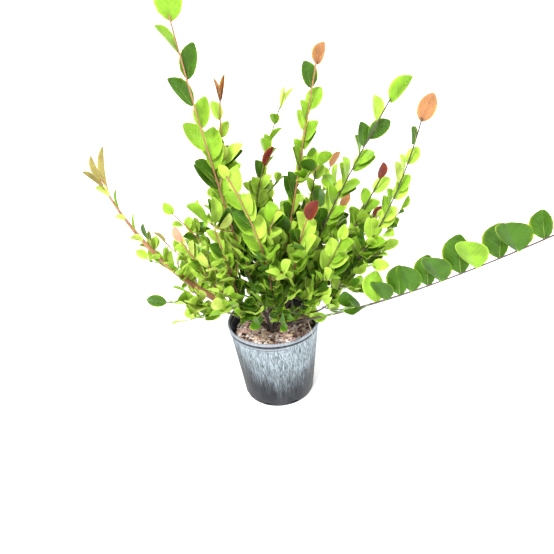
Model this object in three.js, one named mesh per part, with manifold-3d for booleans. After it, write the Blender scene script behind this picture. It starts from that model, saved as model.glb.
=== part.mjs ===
// A bushy coco plum in its nursery pot, in millimetres, +Z up.
// The origin is the centre of the pot's flat underside, and the front of the plant faces -Y.
import * as THREE from "three";
import { mergeVertices } from "three/addons/utils/BufferGeometryUtils.js";
import Module from "manifold-3d";

const wasm = await Module();
wasm.setup();
const { Manifold, Mesh: SolidMesh } = wasm;

// Pot: a black blow-moulded nursery pot, ten inches across the rim
const POT_HEIGHT = 240;
const POT_RIM_RADIUS = 127;
const POT_BASE_RADIUS = 99;
const POT_EDGE_RADIUS = 11;
const POT_EDGE_STEPS = 3;
const POT_WALL = 2.6;
const POT_FLOOR = 3;
const POT_SIDES = 24;
const LIP_HEIGHT = 6;
const LIP_ROUND = 1.5;
const GROOVE_HEIGHT = 5;
const RIDGE_HEIGHT = 7;
const RIDGE_SLOPE = 1;
const LIP_PROUD = 2.2;
const DRAIN_SLOTS = 8;
const DRAIN_WIDTH = 20;
const DRAIN_HEIGHT = 9;
const DRAIN_DEPTH = 30;
const DRAIN_LIFT = 1;

// Potting mix: level under the stems, and a little lower at the wall
const SOIL_HEIGHT = 205;
const SOIL_BOSS_RADIUS = 29;
const SOIL_EDGE_DROP = 4;
const SOIL_CLEARANCE = 0.4;

// The gap that touching pieces keep
const SEAT = 0.3;

// Limbs: stems rise steeply from the soil and then lean out, boughs leave them with a slight sag
const LIMB_SIDES = 6;
const STEM_STEPS = 5;
const STEM_RISE = 24;
const STEM_ELBOW = 0.62;
const FOOT_RING = 20;
const FOOT_FLARE = 1.6;
const FLARE_REACH = 16;
const BOUGH_STEPS = 3;
const BOUGH_ELBOWS = [0.3, 0.7];
const BOUGH_SAG = 0.06;
const BOUGH_BASE = 0.78;
const BOUGH_TAPER = 0.8;
const LIMB_CLEARANCE = 12;

// Twigs: three-sided, drawn a little wider so that they hold the round twig's section
const TWIG_SIDES = 3;
const TWIG_STEP = 90;
const TWIG_TIP_RADIUS = 1.1;
const TWIG_FULLNESS = 1.15;
const LEADER_BEND = 0.45;
const SIDE_TWIG_RADIUS = 1.7;
const SIDE_TWIG_CLEARANCE = 26;
const SIDE_TWIG_STRETCH = [0.08, 0.62];
const SIDE_TWIG_STRAY = 0.6;
const SIDE_TWIG_LENGTHS = [0.7, 1.2];
const SIDE_TWIG_TRIES = 8;
const SIDE_TWIG_TURN = 2.4;
const SIDE_TWIG_FORWARD = 0.75;
const SIDE_TWIG_UPTURN = 0.7;
const SIDE_TWIG_FACE = 120;

// Where leaves stand along a twig
const FIRST_LEAF = 18;
const LAST_LEAF = 0.985;
const TIP_LEAF = 0.98;
const LEAF_OPENING = 1.2;
const SIDE_LEAF_STEP = 16;
const SIDE_FIRST_LEAF = 0.3;
const SIDE_LEAF_SCALE = 0.86;

// The leaf's blade, as shares of its length
const LEAF_WIDTH = 0.69;
const TIP_LEAF_WIDTH = 0.62;
const LEAF_THICKNESS = 0.03;
const LEAF_DROOP = 0.1;
const LEAF_SHOULDER = 0.55;
const LEAF_YOUNGER = 0.2;
const LEAF_SIZES = [0.78, 1];
const LEAF_WIDTHS = [0.92, 1.08];

// How a leaf leans from its twig, in radians, on a lying twig and on a steep one
const STEEPNESS = [0.7, 0.95];
const SPREAD_LYING = 1.2;
const SPREAD_STEEP = 0.38;
const SPREAD_TIP = 0.15;
const LEAF_LIFT = 1.1;
const LEAF_SWAY = 1.4;
const LEAF_CUP = 0.25;
const LEAF_FACING = 1.1;
const LEAF_ROOT_OFFSET = 0.2;

// The room a leaf needs: it looks upwards, and keeps clear of other leaves and other masses
const LEAF_LOWEST_RISE = 0.3;
const LEAF_GAP = 9;
const SPACE_MARGIN = 5;
const LEAF_TURNS = [0, 0.45, -0.45, 0.9, -0.9, 1.4, -1.4];
const LEAF_SHRINKS = [1, 0.8, 0.64];

const UP = new THREE.Vector3(0, 0, 1);
const { lerp, smoothstep, degToRad } = THREE.MathUtils;

// Stems rise from the soil in a close clump. Each has its foot's azimuth on the clump's ring,
// its radius at foot and tip, and its tip as azimuth in degrees, reach and height.
const STEMS = [
  { name: "stem_left", foot: 172, radius: [5.4, 4.8], tip: [-169, 130, 318], sag: -4 },
  { name: "stem_low_left", foot: -148, radius: [4.2, 3.0], tip: [-152, 112, 294], sag: 2 },
  { name: "stem_tall", foot: -109, radius: [5.2, 4.0], tip: [-126, 58, 335], sag: 4 },
  { name: "stem_front_right", foot: -70, radius: [4.4, 3.2], tip: [-44, 100, 310], sag: 4 },
  { name: "stem_long_right", foot: -32, radius: [4.8, 3.5], tip: [-42, 150, 297], sag: -6 },
  { name: "stem_far_right", foot: 6, radius: [4.8, 3.6], tip: [-18, 138, 325], sag: 0 },
  { name: "stem_right", foot: 46, radius: [5.0, 3.7], tip: [2, 78, 350], sag: 4 },
  { name: "stem_back_right", foot: 88, radius: [4.8, 3.4], tip: [46, 92, 330], sag: 4 },
  { name: "stem_back_left", foot: 130, radius: [4.8, 3.4], tip: [130, 92, 330], sag: 4 },
  { name: "stem_centre", foot: null, radius: [5.6, 4.0], tip: [10, 30, 345], sag: 0 },
];

// Boughs fork from a stem, at a share of its length.
const BOUGHS = [
  { name: "bough_left_inner", on: "stem_left", at: 0.6, tip: [170, 112, 350] },
  { name: "bough_left_front", on: "stem_left", at: 0.82, tip: [-158, 150, 385] },
  { name: "bough_low_left", on: "stem_low_left", at: 0.66, tip: [-137, 106, 345] },
  { name: "bough_low_front_left", on: "stem_low_left", at: 0.46, tip: [-121, 92, 308] },
  { name: "bough_second_left", on: "stem_tall", at: 0.62, tip: [-165, 56, 385] },
  { name: "bough_front", on: "stem_tall", at: 0.5, tip: [-92, 72, 335] },
  { name: "bough_front_low", on: "stem_front_right", at: 0.5, tip: [-82, 86, 318] },
  { name: "bough_front_right", on: "stem_front_right", at: 0.72, tip: [-58, 102, 365] },
  { name: "bough_low_right", on: "stem_far_right", at: 0.5, tip: [-27, 132, 290] },
  { name: "bough_right_outer", on: "stem_far_right", at: 0.78, tip: [-7, 158, 375] },
  { name: "bough_right_inner", on: "stem_right", at: 0.66, tip: [24, 92, 385] },
  { name: "bough_back_right_low", on: "stem_back_right", at: 0.5, tip: [20, 128, 300] },
  { name: "bough_back", on: "stem_back_right", at: 0.68, tip: [84, 92, 365] },
  { name: "bough_back_low", on: "stem_back_left", at: 0.5, tip: [100, 108, 295] },
  { name: "bough_back_left_low", on: "stem_back_left", at: 0.62, tip: [156, 128, 310] },
  { name: "bough_heart", on: "stem_centre", at: 0.62, tip: [110, 34, 375] },
];

// Foliage: each mass grows on from the tip of its stem or bough, along a leader to its own tip.
// leaves is the number on the leader and size the length of those at its foot, face is the azimuth
// that upright leaves look to, sides the number of side twigs and reach their length. Some differ
// in the leader's bend, its bare foot, how plump its leaves are, how far they lift and sway, and
// how much younger, and so shorter, they are at the tip.
const MASSES = [
  { name: "foliage_left", on: "stem_left", tip: [-163, 372, 728],
    leaves: 16, size: 56, face: 160, sides: 3, reach: 62, bend: 0.5, plump: 0.75 },
  { name: "foliage_left_inner", on: "bough_left_inner", tip: [175, 232, 572],
    leaves: 9, size: 54, face: -75, sides: 3, reach: 75 },
  { name: "foliage_left_front", on: "bough_left_front", tip: [-163, 216, 532],
    leaves: 7, size: 60, face: -105, sides: 1, reach: 60 },
  { name: "foliage_low_left", on: "stem_low_left", tip: [-159, 284, 385],
    leaves: 9, size: 74, face: -90, sides: 4, reach: 80, plump: 1.2 },
  { name: "foliage_low_left_upright", on: "bough_low_left", tip: [-138, 156, 575],
    leaves: 11, size: 62, face: -85, sides: 4, reach: 75 },
  { name: "foliage_low_front_left", on: "bough_low_front_left", tip: [-131, 192, 430],
    leaves: 8, size: 68, face: -90, sides: 3, reach: 65, plump: 1.2 },
  { name: "foliage_tall", on: "stem_tall", tip: [-131, 212, 1058],
    leaves: 17, size: 72, face: -70, sides: 3, reach: 95, plump: 0.85, younger: -0.2 },
  { name: "foliage_second_left", on: "bough_second_left", tip: [-142, 88, 868],
    leaves: 15, size: 62, face: -80, sides: 3, reach: 80 },
  { name: "foliage_front", on: "bough_front", tip: [-115, 165, 725],
    leaves: 14, size: 78, face: -95, sides: 4, reach: 85 },
  { name: "foliage_front_low", on: "bough_front_low", tip: [-82, 150, 450],
    leaves: 7, size: 58, face: -90, sides: 2, reach: 60 },
  { name: "foliage_front_right_low", on: "stem_front_right", tip: [-38, 226, 540],
    leaves: 12, size: 66, face: -100, sides: 4, reach: 75 },
  { name: "foliage_front_right", on: "bough_front_right", tip: [-56, 178, 605],
    leaves: 11, size: 72, face: -85, sides: 3, reach: 75 },
  { name: "foliage_long_right", on: "stem_long_right", tip: [-46, 742, 735],
    leaves: 17, size: 70, face: -60, sides: 0, reach: 0, bare: 70, lift: 1.32, sway: 0.3, plump: 1.35,
    younger: -0.25 },
  { name: "foliage_low_right", on: "bough_low_right", tip: [-25, 212, 430],
    leaves: 6, size: 56, face: -90, sides: 1, reach: 60, bare: 30 },
  { name: "foliage_far_right", on: "stem_far_right", tip: [-23, 384, 815],
    leaves: 15, size: 66, face: -75, sides: 3, reach: 75 },
  { name: "foliage_right_outer", on: "bough_right_outer", tip: [-13, 292, 655],
    leaves: 10, size: 64, face: -90, sides: 4, reach: 75 },
  { name: "foliage_right", on: "stem_right", tip: [-17, 312, 845],
    leaves: 15, size: 76, face: -80, sides: 4, reach: 90 },
  { name: "foliage_right_inner", on: "bough_right_inner", tip: [22, 156, 655],
    leaves: 10, size: 60, face: -75, sides: 3, reach: 80 },
  { name: "foliage_centre", on: "stem_centre", tip: [-11, 150, 925],
    leaves: 15, size: 76, face: -85, sides: 3, reach: 95 },
  { name: "foliage_heart", on: "bough_heart", tip: [60, 24, 680],
    leaves: 13, size: 64, face: -95, sides: 5, reach: 85 },
  { name: "foliage_back_right", on: "stem_back_right", tip: [40, 250, 610],
    leaves: 12, size: 64, face: 70, sides: 3, reach: 85 },
  { name: "foliage_back_right_low", on: "bough_back_right_low", tip: [14, 290, 460],
    leaves: 8, size: 62, face: 50, sides: 2, reach: 75 },
  { name: "foliage_back", on: "bough_back", tip: [58, 128, 800],
    leaves: 14, size: 60, face: 90, sides: 3, reach: 85 },
  { name: "foliage_back_low", on: "bough_back_low", tip: [104, 240, 430],
    leaves: 7, size: 60, face: 90, sides: 2, reach: 70 },
  { name: "foliage_back_left", on: "stem_back_left", tip: [118, 250, 625],
    leaves: 12, size: 64, face: 100, sides: 3, reach: 85 },
  { name: "foliage_back_left_low", on: "bough_back_left_low", tip: [162, 290, 460],
    leaves: 8, size: 62, face: 120, sides: 2, reach: 75 },
];

// Small tools

function polar([azimuth, reach, height]) {
  const angle = degToRad(azimuth);
  return new THREE.Vector3(reach * Math.cos(angle), reach * Math.sin(angle), height);
}

// A repeatable stream of numbers from 0 to 1
function seeded(seed) {
  let state = seed * 7919 + 17;
  return () => {
    state = (state * 16807) % 2147483647;
    return state / 2147483647;
  };
}

function between([low, high], share) {
  return lerp(low, high, share);
}

function solidOf(geometry) {
  const bare = geometry.clone();
  bare.deleteAttribute("normal");
  bare.deleteAttribute("uv");
  const merged = mergeVertices(bare, 1e-4);
  return new Manifold(new SolidMesh({
    numProp: 3,
    vertProperties: new Float32Array(merged.attributes.position.array),
    triVerts: new Uint32Array(merged.index.array),
  }));
}

// The largest body of a solid: loose scraps and sealed hollows fall away
function mainBody(solid) {
  return solid.decompose().reduce((best, body) => (body.volume() > best.volume() ? body : best));
}

function geometryOf(solid) {
  const { vertProperties, triVerts } = solid.getMesh();
  const geometry = new THREE.BufferGeometry();
  geometry.setAttribute("position", new THREE.BufferAttribute(new Float32Array(vertProperties), 3));
  geometry.setIndex(new THREE.BufferAttribute(new Uint32Array(triVerts), 1));
  geometry.computeVertexNormals();
  return geometry;
}

// Pot and soil

function wallRadius(height) {
  return lerp(POT_BASE_RADIUS, POT_RIM_RADIUS - LIP_PROUD, height / POT_HEIGHT);
}

function roundEdge(centreX, centreY, radius, from, to, steps) {
  const points = [];
  for (let i = 0; i <= steps; i += 1) {
    const angle = lerp(from, to, i / steps);
    points.push(new THREE.Vector2(centreX + radius * Math.cos(angle), centreY + radius * Math.sin(angle)));
  }
  return points;
}

function turned(profile) {
  return solidOf(new THREE.LatheGeometry(profile, POT_SIDES).rotateX(Math.PI / 2));
}

function potGeometry() {
  const lipLow = POT_HEIGHT - LIP_HEIGHT;
  const ridgeTop = lipLow - GROOVE_HEIGHT;
  const ridgeLow = ridgeTop - RIDGE_HEIGHT;
  const edge = wallRadius(POT_EDGE_RADIUS) - POT_EDGE_RADIUS;
  const innerEdge = POT_EDGE_RADIUS - POT_WALL;
  let pot = turned([
    new THREE.Vector2(0, 0),
    ...roundEdge(edge, POT_EDGE_RADIUS, POT_EDGE_RADIUS, -Math.PI / 2, 0, POT_EDGE_STEPS),
    new THREE.Vector2(wallRadius(ridgeLow), ridgeLow),
    new THREE.Vector2(wallRadius(ridgeLow) + LIP_PROUD, ridgeLow + RIDGE_SLOPE),
    new THREE.Vector2(wallRadius(ridgeTop) + LIP_PROUD, ridgeTop - RIDGE_SLOPE),
    new THREE.Vector2(wallRadius(ridgeTop), ridgeTop),
    new THREE.Vector2(wallRadius(lipLow), lipLow),
    new THREE.Vector2(POT_RIM_RADIUS, lipLow + RIDGE_SLOPE),
    new THREE.Vector2(POT_RIM_RADIUS, POT_HEIGHT - LIP_ROUND),
    new THREE.Vector2(POT_RIM_RADIUS - LIP_ROUND, POT_HEIGHT),
    new THREE.Vector2(wallRadius(POT_HEIGHT) - POT_WALL, POT_HEIGHT),
    ...roundEdge(edge, POT_FLOOR + innerEdge, innerEdge, 0, -Math.PI / 2, 1),
    new THREE.Vector2(0, POT_FLOOR),
  ]);
  for (let i = 0; i < DRAIN_SLOTS; i += 1) {
    const slot = new THREE.BoxGeometry(DRAIN_DEPTH, DRAIN_WIDTH, DRAIN_HEIGHT);
    slot.translate(POT_BASE_RADIUS, 0, POT_FLOOR + DRAIN_HEIGHT / 2 + DRAIN_LIFT);
    slot.rotateZ(((i + 0.5) / DRAIN_SLOTS) * 2 * Math.PI);
    pot = pot.subtract(solidOf(slot));
  }
  return geometryOf(mainBody(pot));
}

function soilGeometry() {
  const low = POT_FLOOR + SEAT;
  const edge = SOIL_HEIGHT - SOIL_EDGE_DROP;
  const inside = (height) => wallRadius(height) - POT_WALL - SOIL_CLEARANCE;
  return geometryOf(turned([
    new THREE.Vector2(0, low),
    new THREE.Vector2(inside(low) - POT_EDGE_RADIUS, low),
    new THREE.Vector2(inside(POT_EDGE_RADIUS), POT_EDGE_RADIUS + POT_FLOOR),
    new THREE.Vector2(inside(edge), edge),
    new THREE.Vector2(SOIL_BOSS_RADIUS, SOIL_HEIGHT),
    new THREE.Vector2(0, SOIL_HEIGHT),
  ]));
}

// Limbs and twigs: a straight capped tube is bent along its curve and tapered

function bentTube(curve, radiusAt, sides, steps) {
  const tube = new THREE.CylinderGeometry(1, 1, 1, sides, steps);
  const position = tube.attributes.position;
  const chord = curve.getPoint(1).sub(curve.getPoint(0)).normalize();
  const reference = Math.abs(chord.x) < 0.6 ? new THREE.Vector3(1, 0, 0) : new THREE.Vector3(0, 1, 0);
  for (let i = 0; i < position.count; i += 1) {
    const share = position.getY(i) + 0.5;
    const along = curve.getTangent(share);
    const across = new THREE.Vector3().crossVectors(reference, along).normalize();
    const other = new THREE.Vector3().crossVectors(across, along);
    const radius = radiusAt(share);
    const point = curve.getPoint(share);
    point.addScaledVector(across, position.getX(i) * radius);
    point.addScaledVector(other, position.getZ(i) * radius);
    position.setXYZ(i, point.x, point.y, point.z);
  }
  return tube;
}

// A limb's radius along its length, with the root flare of a stem
function limbRadius(limb, grow = 0) {
  const length = limb.curve.getLength();
  return (share) => {
    const flare = limb.flare * Math.exp((-share * length) / FLARE_REACH);
    return between(limb.radius, share) + flare + grow;
  };
}

function makeStem(stem) {
  const ring = stem.foot === null ? 0 : FOOT_RING;
  const foot = polar([stem.foot ?? 0, ring, SOIL_HEIGHT + SEAT]);
  const tip = polar(stem.tip);
  const low = foot.clone().addScaledVector(UP, STEM_RISE);
  const high = foot.clone().lerp(tip, STEM_ELBOW).addScaledVector(UP, -stem.sag);
  const curve = new THREE.CubicBezierCurve3(foot, low, high, tip);
  return { ...stem, flare: FOOT_FLARE, steps: STEM_STEPS, curve };
}

function makeBough(bough, limbs) {
  const parent = limbs.get(bough.on);
  const start = parent.curve.getPoint(bough.at);
  const tip = polar(bough.tip);
  const along = parent.curve.getTangent(bough.at);
  const sag = start.distanceTo(tip) * BOUGH_SAG;
  const low = start.clone().lerp(tip, BOUGH_ELBOWS[0]).addScaledVector(along, sag);
  const high = start.clone().lerp(tip, BOUGH_ELBOWS[1]).addScaledVector(UP, -sag);
  const base = limbRadius(parent)(bough.at) * BOUGH_BASE;
  const curve = new THREE.CubicBezierCurve3(start, low, high, tip);
  return { ...bough, flare: 0, radius: [base, base * BOUGH_TAPER], steps: BOUGH_STEPS, curve };
}

// A bough is cut clear of the stem that it forks from
function limbGeometry(limb, limbs) {
  const solid = solidOf(bentTube(limb.curve, limbRadius(limb), LIMB_SIDES, limb.steps));
  if (!limb.on) {
    return geometryOf(solid);
  }
  const parent = limbs.get(limb.on);
  const grown = bentTube(parent.curve, limbRadius(parent, SEAT * 1.2), LIMB_SIDES, parent.steps);
  return geometryOf(mainBody(solid.subtract(solidOf(grown))));
}

// Distance from points to the lines that limbs and twigs follow

function lineOf(curve, steps) {
  return Array.from({ length: steps + 1 }, (_, i) => curve.getPoint(i / steps));
}

function distanceTo(point, line) {
  let nearest = Infinity;
  const closest = new THREE.Vector3();
  const piece = new THREE.Line3();
  for (let i = 0; i + 1 < line.length; i += 1) {
    piece.set(line[i], line[i + 1]);
    piece.closestPointToPoint(point, true, closest);
    nearest = Math.min(nearest, closest.distanceTo(point));
  }
  return nearest;
}

// A leaf: a blade with five corners, drooping towards its tip, and keeled below.
// Its corners are places across and along the blade.

const LEAF_RIM = [[0, 0], [0.5, LEAF_SHOULDER], [0.25, 1], [-0.25, 1], [-0.5, LEAF_SHOULDER]];
const LEAF_KEEL = [0, 0.45];
const LEAF_TOP_FACES = [[0, 1, 4], [4, 1, 2], [4, 2, 3]];

function leafPoint(leaf, [side, share], sink = 0) {
  const across = new THREE.Vector3().crossVectors(leaf.along, leaf.face);
  return leaf.root.clone()
    .addScaledVector(leaf.along, leaf.size * share)
    .addScaledVector(across, leaf.size * leaf.width * side)
    .addScaledVector(leaf.face, -leaf.size * (LEAF_DROOP * share * share + sink));
}

function leafSolid(leaf) {
  const corners = LEAF_RIM.map((spot) => leafPoint(leaf, spot));
  const keel = corners.length;
  const backFaces = corners.map((_, i) => [(i + 1) % keel, i, keel]);
  const blade = new THREE.BufferGeometry();
  blade.setFromPoints([...corners, leafPoint(leaf, LEAF_KEEL, LEAF_THICKNESS)]);
  blade.setIndex([...LEAF_TOP_FACES, ...backFaces].flat());
  return solidOf(blade);
}

// Spots on the blade that stand for it where room is tested: its corners, the middles of its
// edges and points halfway in
const LEAF_TEST_SPOTS = LEAF_RIM.flatMap((spot, i) => {
  const next = LEAF_RIM[(i + 1) % LEAF_RIM.length];
  const middle = [(spot[0] + next[0]) / 2, (spot[1] + next[1]) / 2];
  const inner = [spot[0] / 2, (spot[1] + LEAF_SHOULDER) / 2];
  return [spot, middle, inner];
}).concat([[0, LEAF_SHOULDER]]);

// Where a leaf stands: in two ranks turned up from a lying twig, with their upper sides towards
// each other, and in two ranks that look to the twig's face azimuth on a steep one
function leafAt(twig, share, side, turn, size, width) {
  const along = twig.curve.getTangent(share);
  const upright = smoothstep(Math.abs(along.z), STEEPNESS[0], STEEPNESS[1]);
  const facing = polar([twig.face, 1, 0]);
  const ranks = new THREE.Vector3().crossVectors(along, facing).normalize();
  const sideways = new THREE.Vector3().crossVectors(along, UP).normalize();
  sideways.lerp(ranks, upright).normalize().applyAxisAngle(along, turn).multiplyScalar(side);
  const raised = new THREE.Vector3().crossVectors(sideways, along);
  raised.multiplyScalar(Math.sign(raised.z));
  const lift = (1 - upright) * twig.lift;
  const out = sideways.clone().multiplyScalar(Math.cos(lift)).addScaledVector(raised, Math.sin(lift));
  const spread = share > TIP_LEAF ? SPREAD_TIP : lerp(SPREAD_LYING, SPREAD_STEEP, upright);
  const direction = along.clone().multiplyScalar(Math.cos(spread)).addScaledVector(out, Math.sin(spread));
  const inward = raised.multiplyScalar(Math.cos(lift)).addScaledVector(sideways, -Math.sin(lift));
  const skyward = UP.clone().add(along).addScaledVector(out, -LEAF_CUP);
  skyward.addScaledVector(facing, LEAF_FACING);
  const face = inward.lerp(skyward, upright);
  face.addScaledVector(direction, -face.dot(direction)).normalize();
  const root = twig.pointAt(share).addScaledVector(out, twig.radiusAt(share) * LEAF_ROOT_OFFSET);
  return { root, along: direction, face, size, width };
}

// A leaf keeps its place where it looks up, is clear of limbs and of its mass's other leaves,
// and is nearer to its own twigs than to those of any other mass
function hasRoom(leaf, mass, masses, limbs) {
  if (leaf.along.z < LEAF_LOWEST_RISE) {
    return false;
  }
  const points = LEAF_TEST_SPOTS.map((spot) => leafPoint(leaf, spot));
  for (const point of points) {
    if (limbs.some((limb) => distanceTo(point, limb.line) < LIMB_CLEARANCE)) {
      return false;
    }
    const own = Math.min(...mass.twigs.map((twig) => distanceTo(point, twig.line)));
    const tooNear = (twig) => distanceTo(point, twig.line) < own + SPACE_MARGIN;
    if (masses.some((other) => other !== mass && other.twigs.some(tooNear))) {
      return false;
    }
  }
  leaf.blade = points.slice(1);
  const touches = (other) => {
    return leaf.blade.some((point) => other.blade.some((spot) => spot.distanceTo(point) < LEAF_GAP));
  };
  return !mass.leaves.some(touches);
}

// A leaf that finds no room is turned about its twig, then made smaller, and at last skipped
function growLeaves(mass, masses, limbs) {
  const random = seeded(mass.seed + 500);
  for (const twig of mass.twigs) {
    for (let i = 0; i < twig.leafCount; i += 1) {
      const share = lerp(twig.firstLeaf, LAST_LEAF, (i / (twig.leafCount - 1)) ** LEAF_OPENING);
      const side = i % 2 === 0 ? 1 : -1;
      const age = 1 - (mass.younger ?? LEAF_YOUNGER) * share;
      const size = mass.size * twig.scale * age * between(LEAF_SIZES, random());
      const blade = share > TIP_LEAF ? TIP_LEAF_WIDTH : LEAF_WIDTH * (mass.plump ?? 1);
      const width = blade * between(LEAF_WIDTHS, random());
      const sway = (random() - 0.5) * (mass.sway ?? LEAF_SWAY);
      const tries = LEAF_SHRINKS.flatMap((shrink) => LEAF_TURNS.map((turn) => {
        return leafAt(twig, share, side, sway + turn, size * shrink, width);
      }));
      const leaf = tries.find((candidate) => hasRoom(candidate, mass, masses, limbs));
      if (leaf) {
        mass.leaves.push(leaf);
      }
    }
  }
}

// A twig runs straight between the points of its line, so that leaves meet its faces
function makeTwig(curve, radius, leafCount, firstLeaf, scale, face) {
  const steps = Math.max(2, Math.round(curve.getLength() / TWIG_STEP));
  const line = lineOf(curve, steps);
  const pointAt = (share) => {
    const step = Math.min(steps - 1, Math.floor(share * steps));
    return line[step].clone().lerp(line[step + 1], share * steps - step);
  };
  const radiusAt = (share) => lerp(radius, TWIG_TIP_RADIUS, share);
  return { curve, steps, line, pointAt, radiusAt, leafCount, firstLeaf, scale, face, lift: LEAF_LIFT };
}

// The one stem of a mass, which meets its limb's tip
function makeLeader(plan, index, limbs) {
  const limb = limbs.get(plan.on);
  const heading = limb.curve.getTangent(1);
  const start = limb.curve.getPoint(1).addScaledVector(heading, SEAT);
  const tip = polar(plan.tip);
  const chord = start.distanceTo(tip);
  const bend = start.clone().addScaledVector(heading, chord * (plan.bend ?? LEADER_BEND));
  const curve = new THREE.QuadraticBezierCurve3(start, bend, tip);
  const firstLeaf = (plan.bare ?? FIRST_LEAF) / chord;
  const leader = makeTwig(curve, limb.radius[1], plan.leaves, firstLeaf, 1, plan.face);
  leader.lift = plan.lift ?? LEAF_LIFT;
  return { ...plan, seed: index + 1, twigs: [leader], leaves: [] };
}

// Side twigs stand round the leader. Each turns about it until it is clear of other twigs and
// of limbs, or is skipped.
function addSideTwigs(mass, masses, limbs) {
  const random = seeded(mass.seed + 200);
  const leader = mass.twigs[0];
  for (let i = 0; i < mass.sides; i += 1) {
    const share = between(SIDE_TWIG_STRETCH, (i + random() * SIDE_TWIG_STRAY) / mass.sides);
    const length = mass.reach * between(SIDE_TWIG_LENGTHS, random());
    const firstTurn = random() * 2 * Math.PI;
    const face = mass.face + SIDE_TWIG_FACE * (random() - 0.5);
    const start = leader.pointAt(share);
    const along = leader.curve.getTangent(share);
    const flat = new THREE.Vector3().crossVectors(along, UP).normalize();
    for (let k = 0; k < SIDE_TWIG_TRIES; k += 1) {
      const out = flat.clone().applyAxisAngle(along, firstTurn + k * SIDE_TWIG_TURN);
      const heading = along.clone().multiplyScalar(SIDE_TWIG_FORWARD).add(out).normalize();
      const bend = start.clone().addScaledVector(heading, length / 2);
      const ending = heading.clone().addScaledVector(UP, SIDE_TWIG_UPTURN).normalize();
      const tip = bend.clone().addScaledVector(ending, length / 2);
      const curve = new THREE.QuadraticBezierCurve3(start, bend, tip);
      const leafCount = Math.max(3, Math.round(length / SIDE_LEAF_STEP));
      const twig = makeTwig(curve, SIDE_TWIG_RADIUS, leafCount, SIDE_FIRST_LEAF, SIDE_LEAF_SCALE, face);
      const outer = twig.line.slice(2);
      const meets = (line, clearance) => outer.some((point) => distanceTo(point, line) < clearance);
      const tooNear = (other) => meets(other.line, SIDE_TWIG_CLEARANCE);
      const blocked = limbs.some((limb) => meets(limb.line, LIMB_CLEARANCE)) ||
        masses.some((other) => other !== mass && other.twigs.some(tooNear)) ||
        mass.twigs.slice(1).some(tooNear);
      if (!blocked) {
        mass.twigs.push(twig);
        break;
      }
    }
  }
}

function massGeometry(mass) {
  const tubes = mass.twigs.map((twig) => {
    const radiusAt = (share) => twig.radiusAt(share) * TWIG_FULLNESS;
    return solidOf(bentTube(twig.curve, radiusAt, TWIG_SIDES, twig.steps));
  });
  return geometryOf(mainBody(Manifold.union(tubes.concat(mass.leaves.map(leafSolid)))));
}

// The whole plant in its pot

const materials = {
  pot: new THREE.MeshStandardMaterial({ color: 0x4a525a, roughness: 0.75, metalness: 0 }),
  soil: new THREE.MeshStandardMaterial({ color: 0x6b4436, roughness: 1, metalness: 0 }),
  bark: new THREE.MeshStandardMaterial({ color: 0x7a5a48, roughness: 0.9, metalness: 0 }),
  leaf: new THREE.MeshStandardMaterial({ color: 0x5f9e1f, roughness: 0.45, metalness: 0 }),
};

function named(name, geometry, material) {
  const mesh = new THREE.Mesh(geometry, material);
  mesh.name = name;
  return mesh;
}

const group = new THREE.Group();
group.add(named("pot", potGeometry(), materials.pot));
group.add(named("soil", soilGeometry(), materials.soil));

const limbs = new Map();
for (const stem of STEMS) {
  limbs.set(stem.name, makeStem(stem));
}
for (const bough of BOUGHS) {
  limbs.set(bough.name, makeBough(bough, limbs));
}
const limbList = [...limbs.values()];
for (const limb of limbList) {
  limb.line = lineOf(limb.curve, limb.steps * 2);
  group.add(named(limb.name, limbGeometry(limb, limbs), materials.bark));
}

const masses = MASSES.map((plan, index) => makeLeader(plan, index, limbs));
for (const mass of masses) {
  addSideTwigs(mass, masses, limbList);
}
for (const mass of masses) {
  growLeaves(mass, masses, limbList);
  group.add(named(mass.name, massGeometry(mass), materials.leaf));
}

export default group;
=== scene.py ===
import math
from dataclasses import dataclass, field
from functools import cached_property, lru_cache

import bmesh
import bpy
import numpy as np
from mathutils import Euler, Matrix, Vector


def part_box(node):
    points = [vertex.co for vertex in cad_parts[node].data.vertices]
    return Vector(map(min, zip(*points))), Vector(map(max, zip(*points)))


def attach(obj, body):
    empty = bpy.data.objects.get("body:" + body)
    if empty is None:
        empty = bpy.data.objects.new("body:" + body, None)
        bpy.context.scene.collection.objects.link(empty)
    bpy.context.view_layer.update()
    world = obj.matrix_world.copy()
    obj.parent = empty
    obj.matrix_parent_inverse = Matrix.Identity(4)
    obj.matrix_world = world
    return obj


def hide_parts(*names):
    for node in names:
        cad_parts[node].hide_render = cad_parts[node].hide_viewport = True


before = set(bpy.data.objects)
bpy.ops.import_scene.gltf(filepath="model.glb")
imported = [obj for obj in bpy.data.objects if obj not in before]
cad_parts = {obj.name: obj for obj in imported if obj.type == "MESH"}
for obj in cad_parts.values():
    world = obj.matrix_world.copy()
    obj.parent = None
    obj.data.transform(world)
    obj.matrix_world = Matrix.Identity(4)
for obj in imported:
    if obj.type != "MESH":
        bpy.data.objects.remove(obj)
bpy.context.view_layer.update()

bl_info = {
    "name": "Potted coco plum",
    "version": (1, 0, 0),
    "blender": (4, 5, 0),
    "location": "3D Viewport > Sidebar > Coco Plum",
    "description": "Dresses a bushy coco plum: bark, twigs, leaves, mulch and its weathered pot",
    "category": "Add Mesh",
}

# The frame's sizes, in metres
POT_LOW, POT_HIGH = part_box("pot")
SOIL_LOW, SOIL_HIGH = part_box("soil")
MM = 0.001

# The pot's profile
POT_EDGE = 0.011
POT_EDGE_STEPS = 6
POT_WALL_RINGS = 14
POT_SIDES = 96
LIP_HEIGHT = 0.008
GROOVE_HEIGHT = 0.008
RIDGE_HEIGHT = 0.006
RIDGE_SLOPE = 0.001
LIP_PROUD = 0.0022
LIP_ROUND = 0.0008
RECESS_RADIUS = 0.062
RECESS_DEPTH = 0.002
DRAIN_SLOTS = 8
DRAIN_SIZE = Vector((0.03, 0.02, 0.009))
DRAIN_HEIGHT = 0.0085
DRAIN_ROUND = 0.002

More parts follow.
